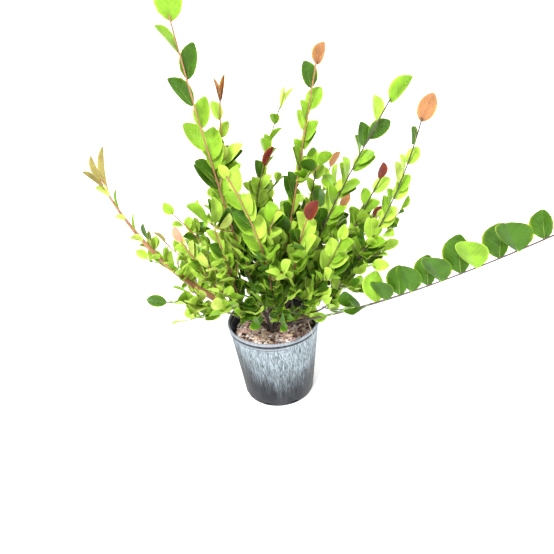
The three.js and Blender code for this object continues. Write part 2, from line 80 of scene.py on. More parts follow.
# The growth rule, in millimetres and radians
STEM_RISE = 24
STEM_ELBOW = 0.62
STEM_STEPS = 5
BOUGH_STEPS = 3
FOOT_RING = 20
FOOT_FLARE = 1.6
FLARE_REACH = 16
BOUGH_ELBOWS = (0.3, 0.7)
BOUGH_SAG = 0.06
BOUGH_BASE = 0.78
BOUGH_TAPER = 0.8
SEAT = 0.3
LIMB_CLEARANCE = 12
TWIG_STEP = 90
TWIG_TIP_RADIUS = 1.1
LEADER_STOUTNESS = 0.85
TWIG_THINNEST = {"leader": 1.75, "side": 1.25, "sprig": 0}
LEADER_BEND = 0.45
SIDE_TWIG_RADII = (1.7, TWIG_TIP_RADIUS)
SIDE_TWIG_CLEARANCE = 26
SIDE_TWIG_STRETCH = (0.08, 0.62)
SIDE_TWIG_STRAY = 0.6
SIDE_TWIG_LENGTHS = (0.7, 1.2)
SIDE_TWIG_TRIES = 8
SIDE_TWIG_TURN = 2.4
SIDE_TWIG_FORWARD = 0.75
SIDE_TWIG_UPTURN = 0.7
SIDE_TWIG_FACE = 120
SIDE_TWIG_FEWEST = 3
FIRST_LEAF = 18
LAST_LEAF = 0.985
TIP_LEAF = 0.98
LEAF_OPENING = 1.2
SIDE_LEAF_STEP = 16
SIDE_FIRST_LEAF = 0.3
SIDE_LEAF_SCALE = 0.86
LEAF_WIDTH = 0.69
TIP_LEAF_WIDTH = 0.62
LEAF_DROOP = 0.1
LEAF_SHOULDER = 0.55
LEAF_YOUNGER = 0.2
LEAF_SIZES = (0.78, 1)
LEAF_WIDTHS = (0.92, 1.08)
STEEPNESS = (0.7, 0.95)
SPREAD_LYING = 1.2
SPREAD_STEEP = 0.38
SPREAD_TIP = 0.15
LEAF_LIFT = 1.1
LEAF_SWAY = 1.4
LEAF_CUP = 0.25
LEAF_FACING = 1.1
LEAF_ROOT_OFFSET = 0.2
LEAF_LOWEST_RISE = 0.3
LEAF_GAP = 9
SPACE_MARGIN = 5
LEAF_TURNS = (0, 0.45, -0.45, 0.9, -0.9, 1.4, -1.4)
LEAF_SHRINKS = (1, 0.8, 0.64)

# Smaller leaves between those of the rule, and finer twigs, which carry it on from the lower
# part of each twig and from the limbs
FILL_SCALE = 0.95
FILL_UNTIL = 0.8
FILL_HIGHEST = 800
FILL_GAP = 5
SPRIG_STEP = 21
SPRIG_STRETCH = (0.04, 0.7)
SPRIG_STRAY = 0.7
SPRIG_LENGTHS = (26, 56)
SPRIG_RADII = (1.0, 0.6)
SPRIG_TRIES = 6
SPRIG_LEAVES = 4
SPRIG_SCALE = 0.76
SPRIG_LEAF_GAP = 4.5
SPRIG_LOWEST_RISE = 0.05
SPRIG_FEWEST = 2
SPRIG_LOWEST = 240
SPRIG_LOWEST_OUT = 0.78
SPRIG_RING = 55
SPRIG_HIGHEST = 520
LIMB_SPRIG_STRETCH = (0.26, 1)
LIMB_SPRIG_CLEARANCE = 5
SPRIG_FACE = 200
BUD_SIZES = (0.8, 1.1)
WANING_FROM = 0.76

# What each step of the growth adds to its mass's seed
SEED_STEPS = {"side twigs": 200, "leaves": 500, "fill": 700, "sprigs": 900, "buds": 1100, "tints": 1300}

UP = np.array((0.0, 0.0, 1.0))

# Stems rise from the soil in a close clump. Each has its foot's azimuth on the clump's ring,
# its radius at foot and tip, its tip as azimuth in degrees, reach and height, and its sag.
STEMS = (
    ("stem_left", 172, (5.4, 4.8), (-169, 130, 318), -4),
    ("stem_low_left", -148, (4.2, 3.0), (-152, 112, 294), 2),
    ("stem_tall", -109, (5.2, 4.0), (-126, 58, 335), 4),
    ("stem_front_right", -70, (4.4, 3.2), (-44, 100, 310), 4),
    ("stem_long_right", -32, (4.8, 3.5), (-42, 150, 297), -6),
    ("stem_far_right", 6, (4.8, 3.6), (-18, 138, 325), 0),
    ("stem_right", 46, (5.0, 3.7), (2, 78, 350), 4),
    ("stem_back_right", 88, (4.8, 3.4), (46, 92, 330), 4),
    ("stem_back_left", 130, (4.8, 3.4), (130, 92, 330), 4),
    ("stem_centre", None, (5.6, 4.0), (10, 30, 345), 0),
)

# Boughs fork from a stem, at a share of its length, and end at a tip.
BOUGHS = (
    ("bough_left_inner", "stem_left", 0.6, (170, 112, 350)),
    ("bough_left_front", "stem_left", 0.82, (-158, 150, 385)),
    ("bough_low_left", "stem_low_left", 0.66, (-137, 106, 345)),
    ("bough_low_front_left", "stem_low_left", 0.46, (-121, 92, 308)),
    ("bough_second_left", "stem_tall", 0.62, (-165, 56, 385)),
    ("bough_front", "stem_tall", 0.5, (-92, 72, 335)),
    ("bough_front_low", "stem_front_right", 0.5, (-82, 86, 318)),
    ("bough_front_right", "stem_front_right", 0.72, (-58, 102, 365)),
    ("bough_low_right", "stem_far_right", 0.5, (-27, 132, 290)),
    ("bough_right_outer", "stem_far_right", 0.78, (-7, 158, 375)),
    ("bough_right_inner", "stem_right", 0.66, (24, 92, 385)),
    ("bough_back_right_low", "stem_back_right", 0.5, (20, 128, 300)),
    ("bough_back", "stem_back_right", 0.68, (84, 92, 365)),
    ("bough_back_low", "stem_back_left", 0.5, (100, 108, 295)),
    ("bough_back_left_low", "stem_back_left", 0.62, (156, 128, 310)),
    ("bough_heart", "stem_centre", 0.62, (110, 34, 375)),
)

# Each mass: its limb, its tip, the leaves on its leader, the length of those at its foot, the
# azimuth that upright leaves look to, its side twigs and their reach, the tint of its youngest
# leaves, the bark of its leader, and what else sets it apart from the rule:
# bend, bare and stout are the leader's bend, its bare foot and its thickness,
# plump, lift and sway the leaves' width, how far they lift and how far they stray,
# younger and waning how much shorter they get towards the tip, and tip the tip leaf's length,
# buds the place, width and sides of narrow young leaves at the tip,
# fill where the leaves in between end, and sprigs the share of finer twigs. An airy mass has
# neither of these two, and a ranked one has a tint for each rank of leaves.
MASSES = (
    ("foliage_left", "stem_left", (-163, 372, 728), 16, 56, 160, 3, 62, "bronze", "rosy",
     {"bend": 0.5, "plump": 0.7, "buds": (0.955, 0.14, (1, -1)), "tip": 1.55, "stout": 2, "fill": 0.5,
      "sprigs": 0.1}),
    ("foliage_left_inner", "bough_left_inner", (175, 232, 572), 9, 54, -75, 3, 75, "lime", "rosy", {}),
    ("foliage_left_front", "bough_left_front", (-163, 216, 532), 7, 60, -105, 1, 60, "pink", "rosy", {}),
    ("foliage_low_left", "stem_low_left", (-159, 284, 385), 9, 74, -90, 4, 80, "deep", "green",
     {"plump": 1.2, "sprigs": 0.4}),
    ("foliage_low_left_upright", "bough_low_left", (-138, 156, 575), 11, 62, -85, 4, 75, "yellow", "rosy",
     {}),
    ("foliage_low_front_left", "bough_low_front_left", (-131, 192, 430), 8, 68, -90, 3, 65, "lime", "green",
     {"plump": 1.2, "sprigs": 0.4}),
    ("foliage_tall", "stem_tall", (-131, 212, 1058), 17, 72, -70, 3, 95, "green", "rosy",
     {"plump": 0.85, "younger": -0.2, "ranked": True}),
    ("foliage_second_left", "bough_second_left", (-142, 88, 868), 15, 62, -80, 3, 80, "orange", "rosy",
     {"buds": (0.985, 0.2, (1, -1))}),
    ("foliage_front", "bough_front", (-115, 165, 725), 14, 78, -95, 4, 85, "lime", "rosy", {}),
    ("foliage_front_low", "bough_front_low", (-82, 150, 450), 7, 58, -90, 2, 60, "lime", "green", {}),
    ("foliage_front_right_low", "stem_front_right", (-38, 226, 540), 12, 66, -100, 4, 75, "lime", "green",
     {}),
    ("foliage_front_right", "bough_front_right", (-56, 178, 605), 11, 72, -85, 3, 75, "red", "rosy", {}),
    ("foliage_long_right", "stem_long_right", (-46, 742, 735), 17, 70, -60, 0, 0, "deep", "brown",
     {"bare": 70, "lift": 1.32, "sway": 0.3, "plump": 1.35, "younger": -0.25, "waning": 0.5, "tip": 1.6,
      "airy": True, "ranked": True}),
    ("foliage_low_right", "bough_low_right", (-25, 212, 430), 6, 56, -90, 1, 60, "lime", "brown",
     {"bare": 30}),
    ("foliage_far_right", "stem_far_right", (-23, 384, 815), 15, 66, -75, 3, 75, "orange", "brown",
     {"tip": 1.4}),
    ("foliage_right_outer", "bough_right_outer", (-13, 292, 655), 10, 64, -90, 4, 75, "red", "brown", {}),
    ("foliage_right", "stem_right", (-17, 312, 845), 15, 76, -80, 4, 90, "green", "brown",
     {"tip": 1.25}),
    ("foliage_right_inner", "bough_right_inner", (22, 156, 655), 10, 60, -75, 3, 80, "yellow", "brown", {}),
    ("foliage_centre", "stem_centre", (-11, 150, 925), 15, 76, -85, 3, 95, "orange", "rosy", {}),
    ("foliage_heart", "bough_heart", (60, 24, 680), 13, 64, -95, 5, 85, "red", "green",
     {"buds": (0.985, 0.36, (1,))}),
    ("foliage_back_right", "stem_back_right", (40, 250, 610), 12, 64, 70, 3, 85, "orange", "brown", {}),
    ("foliage_back_right_low", "bough_back_right_low", (14, 290, 460), 8, 62, 50, 2, 75, "yellow", "brown",
     {}),
    ("foliage_back", "bough_back", (58, 128, 800), 14, 60, 90, 3, 85, "yellow", "green",
     {"buds": (0.985, 0.2, (1, -1))}),
    ("foliage_back_low", "bough_back_low", (104, 240, 430), 7, 60, 90, 2, 70, "lime", "green", {}),
    ("foliage_back_left", "stem_back_left", (118, 250, 625), 12, 64, 100, 3, 85, "yellow", "rosy", {}),
    ("foliage_back_left_low", "bough_back_left_low", (162, 290, 460), 8, 62, 120, 2, 75, "bronze", "rosy",
     {}),
)

# Small tools


def lerp(low, high, share):
    return low + (high - low) * share


def even_shares(steps):
    """Even shares from 0 to 1."""
    return [i / steps for i in range(steps + 1)]


def smoothstep(value, low, high):
    share = min(1, max(0, (value - low) / (high - low)))
    return share * share * (3 - 2 * share)


def unit(vector):
    return vector / math.sqrt(vector @ vector)


def cross(a, b):
    (ax, ay, az), (bx, by, bz) = a.tolist(), b.tolist()
    return np.array((ay * bz - az * by, az * bx - ax * bz, ax * by - ay * bx))


def polar(azimuth, reach, height):
    angle = math.radians(azimuth)
    return np.array((reach * math.cos(angle), reach * math.sin(angle), height), float)


def turned_about(vector, axis, angle):
    """The vector, turned about a unit axis."""
    along = axis * (axis @ vector)
    return vector * math.cos(angle) + cross(axis, vector) * math.sin(angle) + along * (1 - math.cos(angle))


# The random numbers: how a seed is spread, and the factor and range of each step
SEED_SPREAD = (7919, 17)
RANDOM_FACTOR = 16807
RANDOM_RANGE = 2147483647


def seeded(seed):
    """A repeatable stream of numbers from 0 to 1."""
    state = seed * SEED_SPREAD[0] + SEED_SPREAD[1]

    def draw():
        nonlocal state
        state = state * RANDOM_FACTOR % RANDOM_RANGE
        return state / RANDOM_RANGE

    return draw


# The step for a curve's direction, as a share, and the steps in which its length is measured
TANGENT_STEP = 1e-4
LENGTH_STEPS = 200


class Bezier:
    """A Bezier curve on three or four control points."""

    def __init__(self, *points):
        self.points = [np.array(point, float) for point in points]

    def at(self, share):
        points = self.points
        while len(points) > 1:
            points = [lerp(a, b, share) for a, b in zip(points, points[1:])]
        return points[0]

    def tangent(self, share):
        return unit(self.at(min(1, share + TANGENT_STEP)) - self.at(max(0, share - TANGENT_STEP)))

    def line(self, steps):
        return np.array([self.at(share) for share in even_shares(steps)])

    def length(self):
        return np.linalg.norm(np.diff(self.line(LENGTH_STEPS), axis=0), axis=1).sum()


def reaches(points, lines):
    """How far each point is from each piece of some lines, given as starts and ends of pieces."""
    starts, ends = lines
    span = ends - starts
    offset = points[:, None] - starts
    share = np.clip((offset * span).sum(axis=2) / (span * span).sum(axis=1), 0, 1)
    away = offset - share[..., None] * span
    return np.sqrt((away * away).sum(axis=2))


def distances(points, lines):
    """How far each point is from the nearest piece."""
    if not len(lines[0]):
        return np.full(len(points), np.inf)
    return reaches(points, lines).min(axis=1)


def nearby(lines, point, reach):
    """The pieces that come within reach of a point."""
    near = reaches(point[None], lines)[0] < reach
    return lines[0][near], lines[1][near]


def pieces_of(lines):
    return (np.concatenate([line[:-1] for line in lines]), np.concatenate([line[1:] for line in lines]))


# The plant grows by the rule of its solids


@dataclass
class Limb:
    name: str
    curve: Bezier
    radii: tuple
    flare: float
    steps: int

    def at(self, share):
        return self.curve.at(share)

    def radius(self, share):
        flare = self.flare * math.exp(-share * self.curve.length() / FLARE_REACH)
        return lerp(self.radii[0], self.radii[1], share) + flare


@dataclass
class Twig:
    curve: Bezier
    radii: tuple
    leaf_count: int
    first_leaf: float
    scale: float
    face: float
    lift: float = LEAF_LIFT
    kind: str = "side"
    stout: float = 1
    line: np.ndarray = None

    def __post_init__(self):
        steps = max(2, math.floor(self.curve.length() / TWIG_STEP + 0.5))
        self.line = self.curve.line(steps)

    def at(self, share):
        steps = len(self.line) - 1
        step = min(steps - 1, math.floor(share * steps))
        return lerp(self.line[step], self.line[step + 1], share * steps - step)

    def radius(self, share):
        return lerp(self.radii[0], self.radii[1], share)


@dataclass
class Leaf:
    root: np.ndarray
    along: np.ndarray
    face: np.ndarray
    size: float
    width: float
    share: float = 0
    side: int = 1
    kind: str = "leader"
    tint: str = "green"
    form: int = 0

    def points(self, spots):
        """Places on the blade, from places across and along it."""
        across = cross(self.along, self.face)
        side, share = spots[:, :1], spots[:, 1:]
        reach = self.along * self.size * share + across * self.size * self.width * side
        return self.root + reach - self.face * self.size * LEAF_DROOP * share * share


@dataclass
class Mass:
    name: str
    limb: Limb
    size: float
    sides: int
    reach: float
    tint: str
    bark: str
    more: dict
    seed: int
    twigs: list
    leaves: list = field(default_factory=list)
    sprigs: list = field(default_factory=list)

    def stream(self, step):
        """The random numbers for one step of the growth."""
        return seeded(self.seed + SEED_STEPS[step])


LEAF_RIM = ((0, 0), (0.5, LEAF_SHOULDER), (0.25, 1), (-0.25, 1), (-0.5, LEAF_SHOULDER))
# How far a leaf may reach from its root, as a share of its size
LEAF_SPAN = 1.1


def halfway(spot, other):
    return (spot[0] + other[0]) / 2, (spot[1] + other[1]) / 2


def leaf_test_spots():
    """Corners of the blade, middles of its edges and points halfway in."""
    middle = (0, LEAF_SHOULDER)
    spots = []
    for spot, following in zip(LEAF_RIM, LEAF_RIM[1:] + LEAF_RIM[:1]):
        spots += [spot, halfway(spot, following), halfway(spot, middle)]
    return np.array([*spots, middle], float)


TEST_SPOTS = leaf_test_spots()


def make_stem(name, foot_azimuth, radii, tip, sag):
    ring = 0 if foot_azimuth is None else FOOT_RING
    foot = polar(foot_azimuth or 0, ring, SOIL_HIGH.z / MM + SEAT)
    low = foot + UP * STEM_RISE
    end = polar(*tip)
    high = lerp(foot, end, STEM_ELBOW) - UP * sag
    return Limb(name, Bezier(foot, low, high, end), radii, FOOT_FLARE, STEM_STEPS)


def make_bough(name, parent, share, tip):
    start = parent.curve.at(share)
    end = polar(*tip)
    sag = np.linalg.norm(end - start) * BOUGH_SAG
    low = lerp(start, end, BOUGH_ELBOWS[0]) + parent.curve.tangent(share) * sag
    high = lerp(start, end, BOUGH_ELBOWS[1]) - UP * sag
    base = parent.radius(share) * BOUGH_BASE
    return Limb(name, Bezier(start, low, high, end), (base, base * BOUGH_TAPER), 0, BOUGH_STEPS)


def make_leader(plan, index, limbs):
    """The one stem of a mass, which carries on from its limb's tip."""
    name, on, tip, leaves, size, face, sides, reach, tint, bark, more = plan
    limb = limbs[on]
    heading = limb.curve.tangent(1)
    start = limb.curve.at(1) + heading * SEAT
    end = polar(*tip)
    chord = np.linalg.norm(end - start)
    bend = start + heading * chord * more.get("bend", LEADER_BEND)
    radii = (limb.radii[1], TWIG_TIP_RADIUS)
    first = more.get("bare", FIRST_LEAF) / chord
    leader = Twig(Bezier(start, bend, end), radii, leaves, first, 1, face, more.get("lift", LEAF_LIFT),
                  "leader", more.get("stout", LEADER_STOUTNESS))
    return Mass(name, limb, size, sides, reach, tint, bark, more, index + 1, [leader])


def short_twig(parent, share, turn, length, radii, leaf_count, scale, face, kind):
    """A twig that leaves its parent forwards and then turns up."""
    start = parent.at(share)
    along = parent.curve.tangent(share)
    out = turned_about(unit(cross(along, UP)), along, turn)
    heading = unit(along * SIDE_TWIG_FORWARD + out)
    bend = start + heading * length / 2
    tip = bend + unit(heading + UP * SIDE_TWIG_UPTURN) * length / 2
    return Twig(Bezier(start, bend, tip), radii, leaf_count, SIDE_FIRST_LEAF, scale, face, kind=kind)


def lines_beside(mass, masses):
    """The lines of all twigs of the other masses."""
    return [twig.line for other in masses if other is not mass for twig in other.twigs]


def sprouts(random, count, stretch, stray, lengths, face, spread):
    """Where short twigs stand on their parent, their lengths and turns, and where their leaves look."""
    for i in range(count):
        share = lerp(*stretch, (i + random() * stray) / count)
        length = lerp(*lengths, random())
        yield share, length, random() * 2 * math.pi, face + spread * (random() - 0.5)


def add_side_twigs(mass, masses, limb_lines):
    """Side twigs stand round the leader. Each turns about it until it is clear, or is skipped."""
    random = mass.stream("side twigs")
    leader = mass.twigs[0]
    for share, length, first_turn, face in sprouts(random, mass.sides, SIDE_TWIG_STRETCH, SIDE_TWIG_STRAY,
                                                   SIDE_TWIG_LENGTHS, leader.face, SIDE_TWIG_FACE):
        length *= mass.reach
        leaf_count = max(SIDE_TWIG_FEWEST, math.floor(length / SIDE_LEAF_STEP + 0.5))
        others = pieces_of(lines_beside(mass, masses) + [twig.line for twig in mass.twigs[1:]])
        for k in range(SIDE_TWIG_TRIES):
            twig = short_twig(leader, share, first_turn + k * SIDE_TWIG_TURN, length, SIDE_TWIG_RADII,
                              leaf_count, SIDE_LEAF_SCALE, face, "side")
            outer = twig.line[2:]
            if distances(outer, limb_lines).min() < LIMB_CLEARANCE:
                continue
            if distances(outer, others).min() < SIDE_TWIG_CLEARANCE:
                continue
            mass.twigs.append(twig)
            break


def leaf_at(twig, share, side, turn, size, width):
    """Leaves stand in two ranks: turned up from a lying twig, with their upper sides towards each
    other, and looking to its face azimuth from a steep one."""
    along = twig.curve.tangent(share)
    upright = smoothstep(abs(along[2]), *STEEPNESS)
    facing = polar(twig.face, 1, 0)
    sideways = lerp(unit(cross(along, UP)), unit(cross(along, facing)), upright)
    sideways = turned_about(unit(sideways), along, turn) * side
    raised = cross(sideways, along)
    raised = raised * math.copysign(1, raised[2])
    lift = (1 - upright) * twig.lift
    out = sideways * math.cos(lift) + raised * math.sin(lift)
    spread = SPREAD_TIP if share > TIP_LEAF else lerp(SPREAD_LYING, SPREAD_STEEP, upright)
    direction = along * math.cos(spread) + out * math.sin(spread)
    inward = raised * math.cos(lift) - sideways * math.sin(lift)
    skyward = UP + along - out * LEAF_CUP + facing * LEAF_FACING
    face = lerp(inward, skyward, upright)
    face = unit(face - direction * (face @ direction))
    root = twig.at(share) + out * twig.radius(share) * LEAF_ROOT_OFFSET
    return Leaf(root, direction, face, size, width, share, side, twig.kind)


class Room:
    """The space of one mass: nearer to its own twigs than to those of any other mass, and clear
    of limbs and of its own leaves."""

    def __init__(self, mass, masses, limb_lines):
        self.limbs = limb_lines
        self.own = pieces_of([twig.line for twig in mass.twigs])
        self.others = pieces_of(lines_beside(mass, masses))
        self.blades = np.zeros((0, 3))

    def fits(self, points, blades, limbs, others, gap, clearance):
        """Whether a blade's test points keep clear of all that is near."""
        if len(blades):
            away = points[1:, None] - blades
            if (away * away).sum(axis=2).min() < gap * gap:
                return False
        if (distances(points, limbs) < clearance).any():
            return False
        return (distances(points, others) >= distances(points, self.own) + SPACE_MARGIN).all()

    def add_leaf(self, leaves, twig, share, number, drawn, gap, lowest_rise=LEAF_LOWEST_RISE,
                 clearance=LIMB_CLEARANCE):
        """A leaf that finds no room is turned about its twig, then made smaller, and at last skipped."""
        size, width, sway = drawn
        root = twig.at(share)
        limbs = nearby(self.limbs, root, size * LEAF_SPAN + clearance)
        others = nearby(self.others, root, 2 * size * LEAF_SPAN + SPACE_MARGIN)
        away = self.blades - root
        blades = self.blades[(away * away).sum(axis=1) < (size * LEAF_SPAN + gap) ** 2]
        for shrink in LEAF_SHRINKS:
            for turn in LEAF_TURNS:
                leaf = leaf_at(twig, share, (-1) ** number, sway + turn, size * shrink, width)
                if leaf.along[2] < lowest_rise:
                    continue
                points = leaf.points(TEST_SPOTS)
                if self.fits(points, blades, limbs, others, gap, clearance):
                    self.blades = np.concatenate([self.blades, points[1:]])
                    leaves.append(leaf)
                    return


def draw_leaf(random, size, blade=LEAF_WIDTH, sway=LEAF_SWAY):
    """A leaf's length, its width and its turn about the twig, each drawn about a mean."""
    return size * lerp(*LEAF_SIZES, random()), blade * lerp(*LEAF_WIDTHS, random()), (random() - 0.5) * sway


def leaf_size(mass, twig, share):
    size = mass.size * twig.scale * (1 - mass.more.get("younger", LEAF_YOUNGER) * share)
    return size * lerp(1, mass.more.get("waning", 1), smoothstep(share, WANING_FROM, 1))


def grow_leaves(mass, room):
    """The leaves of the rule, one at each bud of the leader and the side twigs."""
    random = mass.stream("leaves")
    for twig in mass.twigs:
        for i in range(twig.leaf_count):
            share = lerp(twig.first_leaf, LAST_LEAF, (i / (twig.leaf_count - 1)) ** LEAF_OPENING)
            blade, longer = LEAF_WIDTH * mass.more.get("plump", 1), 1
            if share > TIP_LEAF:
                blade = TIP_LEAF_WIDTH
                if twig.kind == "leader":
                    blade = mass.more.get("buds", (0, blade))[1]
                    longer = mass.more.get("tip", 1)
            size, width, sway = draw_leaf(random, leaf_size(mass, twig, share), blade,
                                          mass.more.get("sway", LEAF_SWAY))
            room.add_leaf(mass.leaves, twig, share, i, (size * longer, width, sway), LEAF_GAP)


def open_buds(mass):
    """Narrow upright young leaves on both sides of the leaf at the leader's tip."""
    random = mass.stream("buds")
    share, width, sides = mass.more["buds"]
    for side in sides:
        size = mass.size * mass.more.get("tip", 1) * lerp(*BUD_SIZES, random())
        sway = (random() - 0.5) * LEAF_SWAY
        mass.leaves.append(leaf_at(mass.twigs[0], share, side, sway, size, width))


def fill_between(mass, room):
    """Smaller leaves between those of the rule, on the lower part of each twig."""
    random = mass.stream("fill")
    for twig in mass.twigs:
        for i in range(twig.leaf_count - 1):
            opening = ((i + 0.5) / (twig.leaf_count - 1)) ** LEAF_OPENING
            share = lerp(twig.first_leaf, LAST_LEAF, opening)
            drawn = draw_leaf(random, leaf_size(mass, twig, share) * FILL_SCALE)
            if share <= mass.more.get("fill", FILL_UNTIL) and twig.at(share)[2] <= FILL_HIGHEST:
                room.add_leaf(mass.leaves, twig, share, i, drawn, FILL_GAP)


def grow_sprigs(mass, room, limb_lines):
    """Short twigs with small leaves, where the mass has room left for them."""
    random = mass.stream("sprigs")
    parents = [(twig, SPRIG_STRETCH, LIMB_CLEARANCE) for twig in mass.twigs]
    parents.append((mass.limb, LIMB_SPRIG_STRETCH, LIMB_SPRIG_CLEARANCE))
    for parent, stretch, clearance in parents:
        room_for = parent.curve.length() * (stretch[1] - stretch[0]) / SPRIG_STEP
        count = max(1, math.floor(room_for * mass.more.get("sprigs", 1)))
        for share, length, first_turn, face in sprouts(random, count, stretch, SPRIG_STRAY, SPRIG_LENGTHS,
                                                       mass.twigs[0].face, SPRIG_FACE):
            x, y, height = parent.at(share)
            lowest = SPRIG_LOWEST + SPRIG_LOWEST_OUT * max(0, math.hypot(x, y) - SPRIG_RING)
            if not lowest < height < SPRIG_HIGHEST:
                continue
            for k in range(SPRIG_TRIES):
                sprig = short_twig(parent, share, first_turn + k * SIDE_TWIG_TURN, length, SPRIG_RADII,
                                   SPRIG_LEAVES, SPRIG_SCALE, face, "sprig")
                if distances(sprig.line[1:], limb_lines).min() < clearance:
                    continue
                kept = room.blades
                leaves = sprig_leaves(mass, sprig, room, random, clearance)
                if len(leaves) >= SPRIG_FEWEST:
                    mass.sprigs.append(sprig)
                    mass.leaves.extend(leaves)
                    break
                room.blades = kept


def sprig_leaves(mass, sprig, room, random, clearance):
    leaves = []
    for i in range(sprig.leaf_count):
        share = lerp(sprig.first_leaf, LAST_LEAF, i / (sprig.leaf_count - 1))
        drawn = draw_leaf(random, mass.size * sprig.scale)
        room.add_leaf(leaves, sprig, share, i, drawn, SPRIG_LEAF_GAP, SPRIG_LOWEST_RISE, clearance)
    return leaves


# Where on its twig a leaf turns young, how many do, and the shares of the mature tints: by the
# twig's kind, in the core within a half size as painted shade, high up, and on the left side as painted
# sunlight
YOUNG_FROM = 0.93
YOUNG_SIDE_SHARE = 0.3
FRESH_FROM = 0.72
FRESH_SHARE = 0.28
FRESH_YELLOW_SHARE = 0.07
TINT_SHARES = {"leader": {"deep": 0.16, "green": 0.44, "lime": 0.4},
               "side": {"deep": 0.12, "green": 0.3, "lime": 0.58},
               "sprig": {"deep": 0.26, "green": 0.26, "lime": 0.48}}
PAINTED_SUNLIGHT_SHARES = {"deep": 0.07, "green": 0.2, "lime": 0.55, "yellow": 0.18}
PAINTED_SUNLIGHT_SIDE = -70
HIGH_SHARES = {"deep": 0.22, "green": 0.54, "lime": 0.24}
HIGH_FROM = 640
RANKED_TINTS = {1: ("deep", "green"), -1: ("green", "deep")}
RANKED_STRAY = 0.4
PAINTED_SHADE_CORE_SHARES = {"deep": 0.75, "green": 0.2, "lime": 0.05}
PAINTED_SHADE_CORE_SIZE = (85, 150, 420)


def drawn_tint(shares, mark):
    for tint, share in shares.items():
        mark -= share
        if mark < 0:
            return tint
    return "lime"


def tint_leaves(mass):
    """Colours go by twig: mature greens low down, fresh ones above, and the mass's tint at the tip."""
    random = mass.stream("tints")
    for leaf in mass.leaves:
        draw, mark = random(), random()
        leaf.form = int(random() * len(LEAF_FORMS))
        shares = TINT_SHARES[leaf.kind]
        # Painted shade: darker tints for the leaves in the core.
        if (np.abs(leaf.root) < PAINTED_SHADE_CORE_SIZE).all():
            shares = PAINTED_SHADE_CORE_SHARES
        elif leaf.root[2] > HIGH_FROM:
            shares = HIGH_SHARES
        # Painted sunlight: paler tints for the leaves on the left.
        elif leaf.root[0] < PAINTED_SUNLIGHT_SIDE:
            shares = PAINTED_SUNLIGHT_SHARES
        leaf.tint = drawn_tint(shares, mark)
        if leaf.kind == "leader" and leaf.share > YOUNG_FROM:
            leaf.tint = mass.tint
        elif leaf.kind == "side" and leaf.share > TIP_LEAF and draw < YOUNG_SIDE_SHARE:
            leaf.tint = mass.tint
        elif leaf.kind == "leader" and mass.more.get("ranked"):
            leaf.tint = RANKED_TINTS[leaf.side][draw < RANKED_STRAY]
        elif leaf.kind != "sprig" and leaf.share > FRESH_FROM and draw < FRESH_SHARE:
            leaf.tint = "yellow" if draw < FRESH_YELLOW_SHARE else "lime"


@lru_cache
def grown_plant():
    """The limbs and the masses, in millimetres."""
    limbs = {plan[0]: make_stem(*plan) for plan in STEMS}
    for name, on, share, tip in BOUGHS:
        limbs[name] = make_bough(name, limbs[on], share, tip)
    limb_lines = pieces_of([limb.curve.line(limb.steps * 2) for limb in limbs.values()])
    masses = [make_leader(plan, index, limbs) for index, plan in enumerate(MASSES)]
    for mass in masses:
        add_side_twigs(mass, masses, limb_lines)
    rooms = [Room(mass, masses, limb_lines) for mass in masses]
    for mass, room in zip(masses, rooms):
        grow_leaves(mass, room)
        if "buds" in mass.more:
            open_buds(mass)
        if not mass.more.get("airy"):
            fill_between(mass, room)
            grow_sprigs(mass, room, limb_lines)
        tint_leaves(mass)
    return limbs, masses


# Shader maths as expressions


def worked(operation, swapped=False):
    """A method that works a value together with others, or swapped with one before it."""
    def method(value, *others):
        values = (*others, value) if swapped else (value, *others)
        return value.graph.math(operation, *values)
    return method


class Value:
    """A socket of a node graph, which works in sums and products as a number does."""

    def __init__(self, graph, socket):
        self.graph = graph
        self.socket = socket

    __add__ = worked("ADD")
    __radd__ = worked("ADD", swapped=True)
    __sub__ = worked("SUBTRACT")
    __rsub__ = worked("SUBTRACT", swapped=True)
    __mul__ = worked("MULTIPLY")
    __rmul__ = worked("MULTIPLY", swapped=True)
    __truediv__ = worked("DIVIDE")
    __rtruediv__ = worked("DIVIDE", swapped=True)
    __abs__ = worked("ABSOLUTE")

    def between(self, low, high):
        """0 below low and 1 above high, with a smooth change."""
        return self.graph.node("ShaderNodeMapRange", {"interpolation_type": "SMOOTHSTEP"},
                               {"Value": self, "From Min": low, "From Max": high})

    def band(self, low, full, fading, high):
        """1 from full to fading, and 0 below low and above high."""
        return self.between(low, full) * (1 - self.between(fading, high))


class Graph:
    """A node tree that is built up from expressions."""

    def __init__(self, tree):
        self.tree = tree

    def feed(self, socket, value):
        if isinstance(value, Value):
            self.tree.links.new(value.socket, socket)
        else:
            socket.default_value = value

    def node(self, kind, settings=None, inputs=None, output=0):
        """Adds a node with its settings and inputs, and gives back one of its outputs."""
        made = self.tree.nodes.new(kind)
        for name, value in (settings or {}).items():
            setattr(made, name, value)
        for name, value in (inputs or {}).items():
            self.feed(made.inputs[name], value)
        return Value(self, made.outputs[output]) if len(made.outputs) else None

    def math(self, operation, *values):
        return self.node("ShaderNodeMath", {"operation": operation}, dict(enumerate(values)))


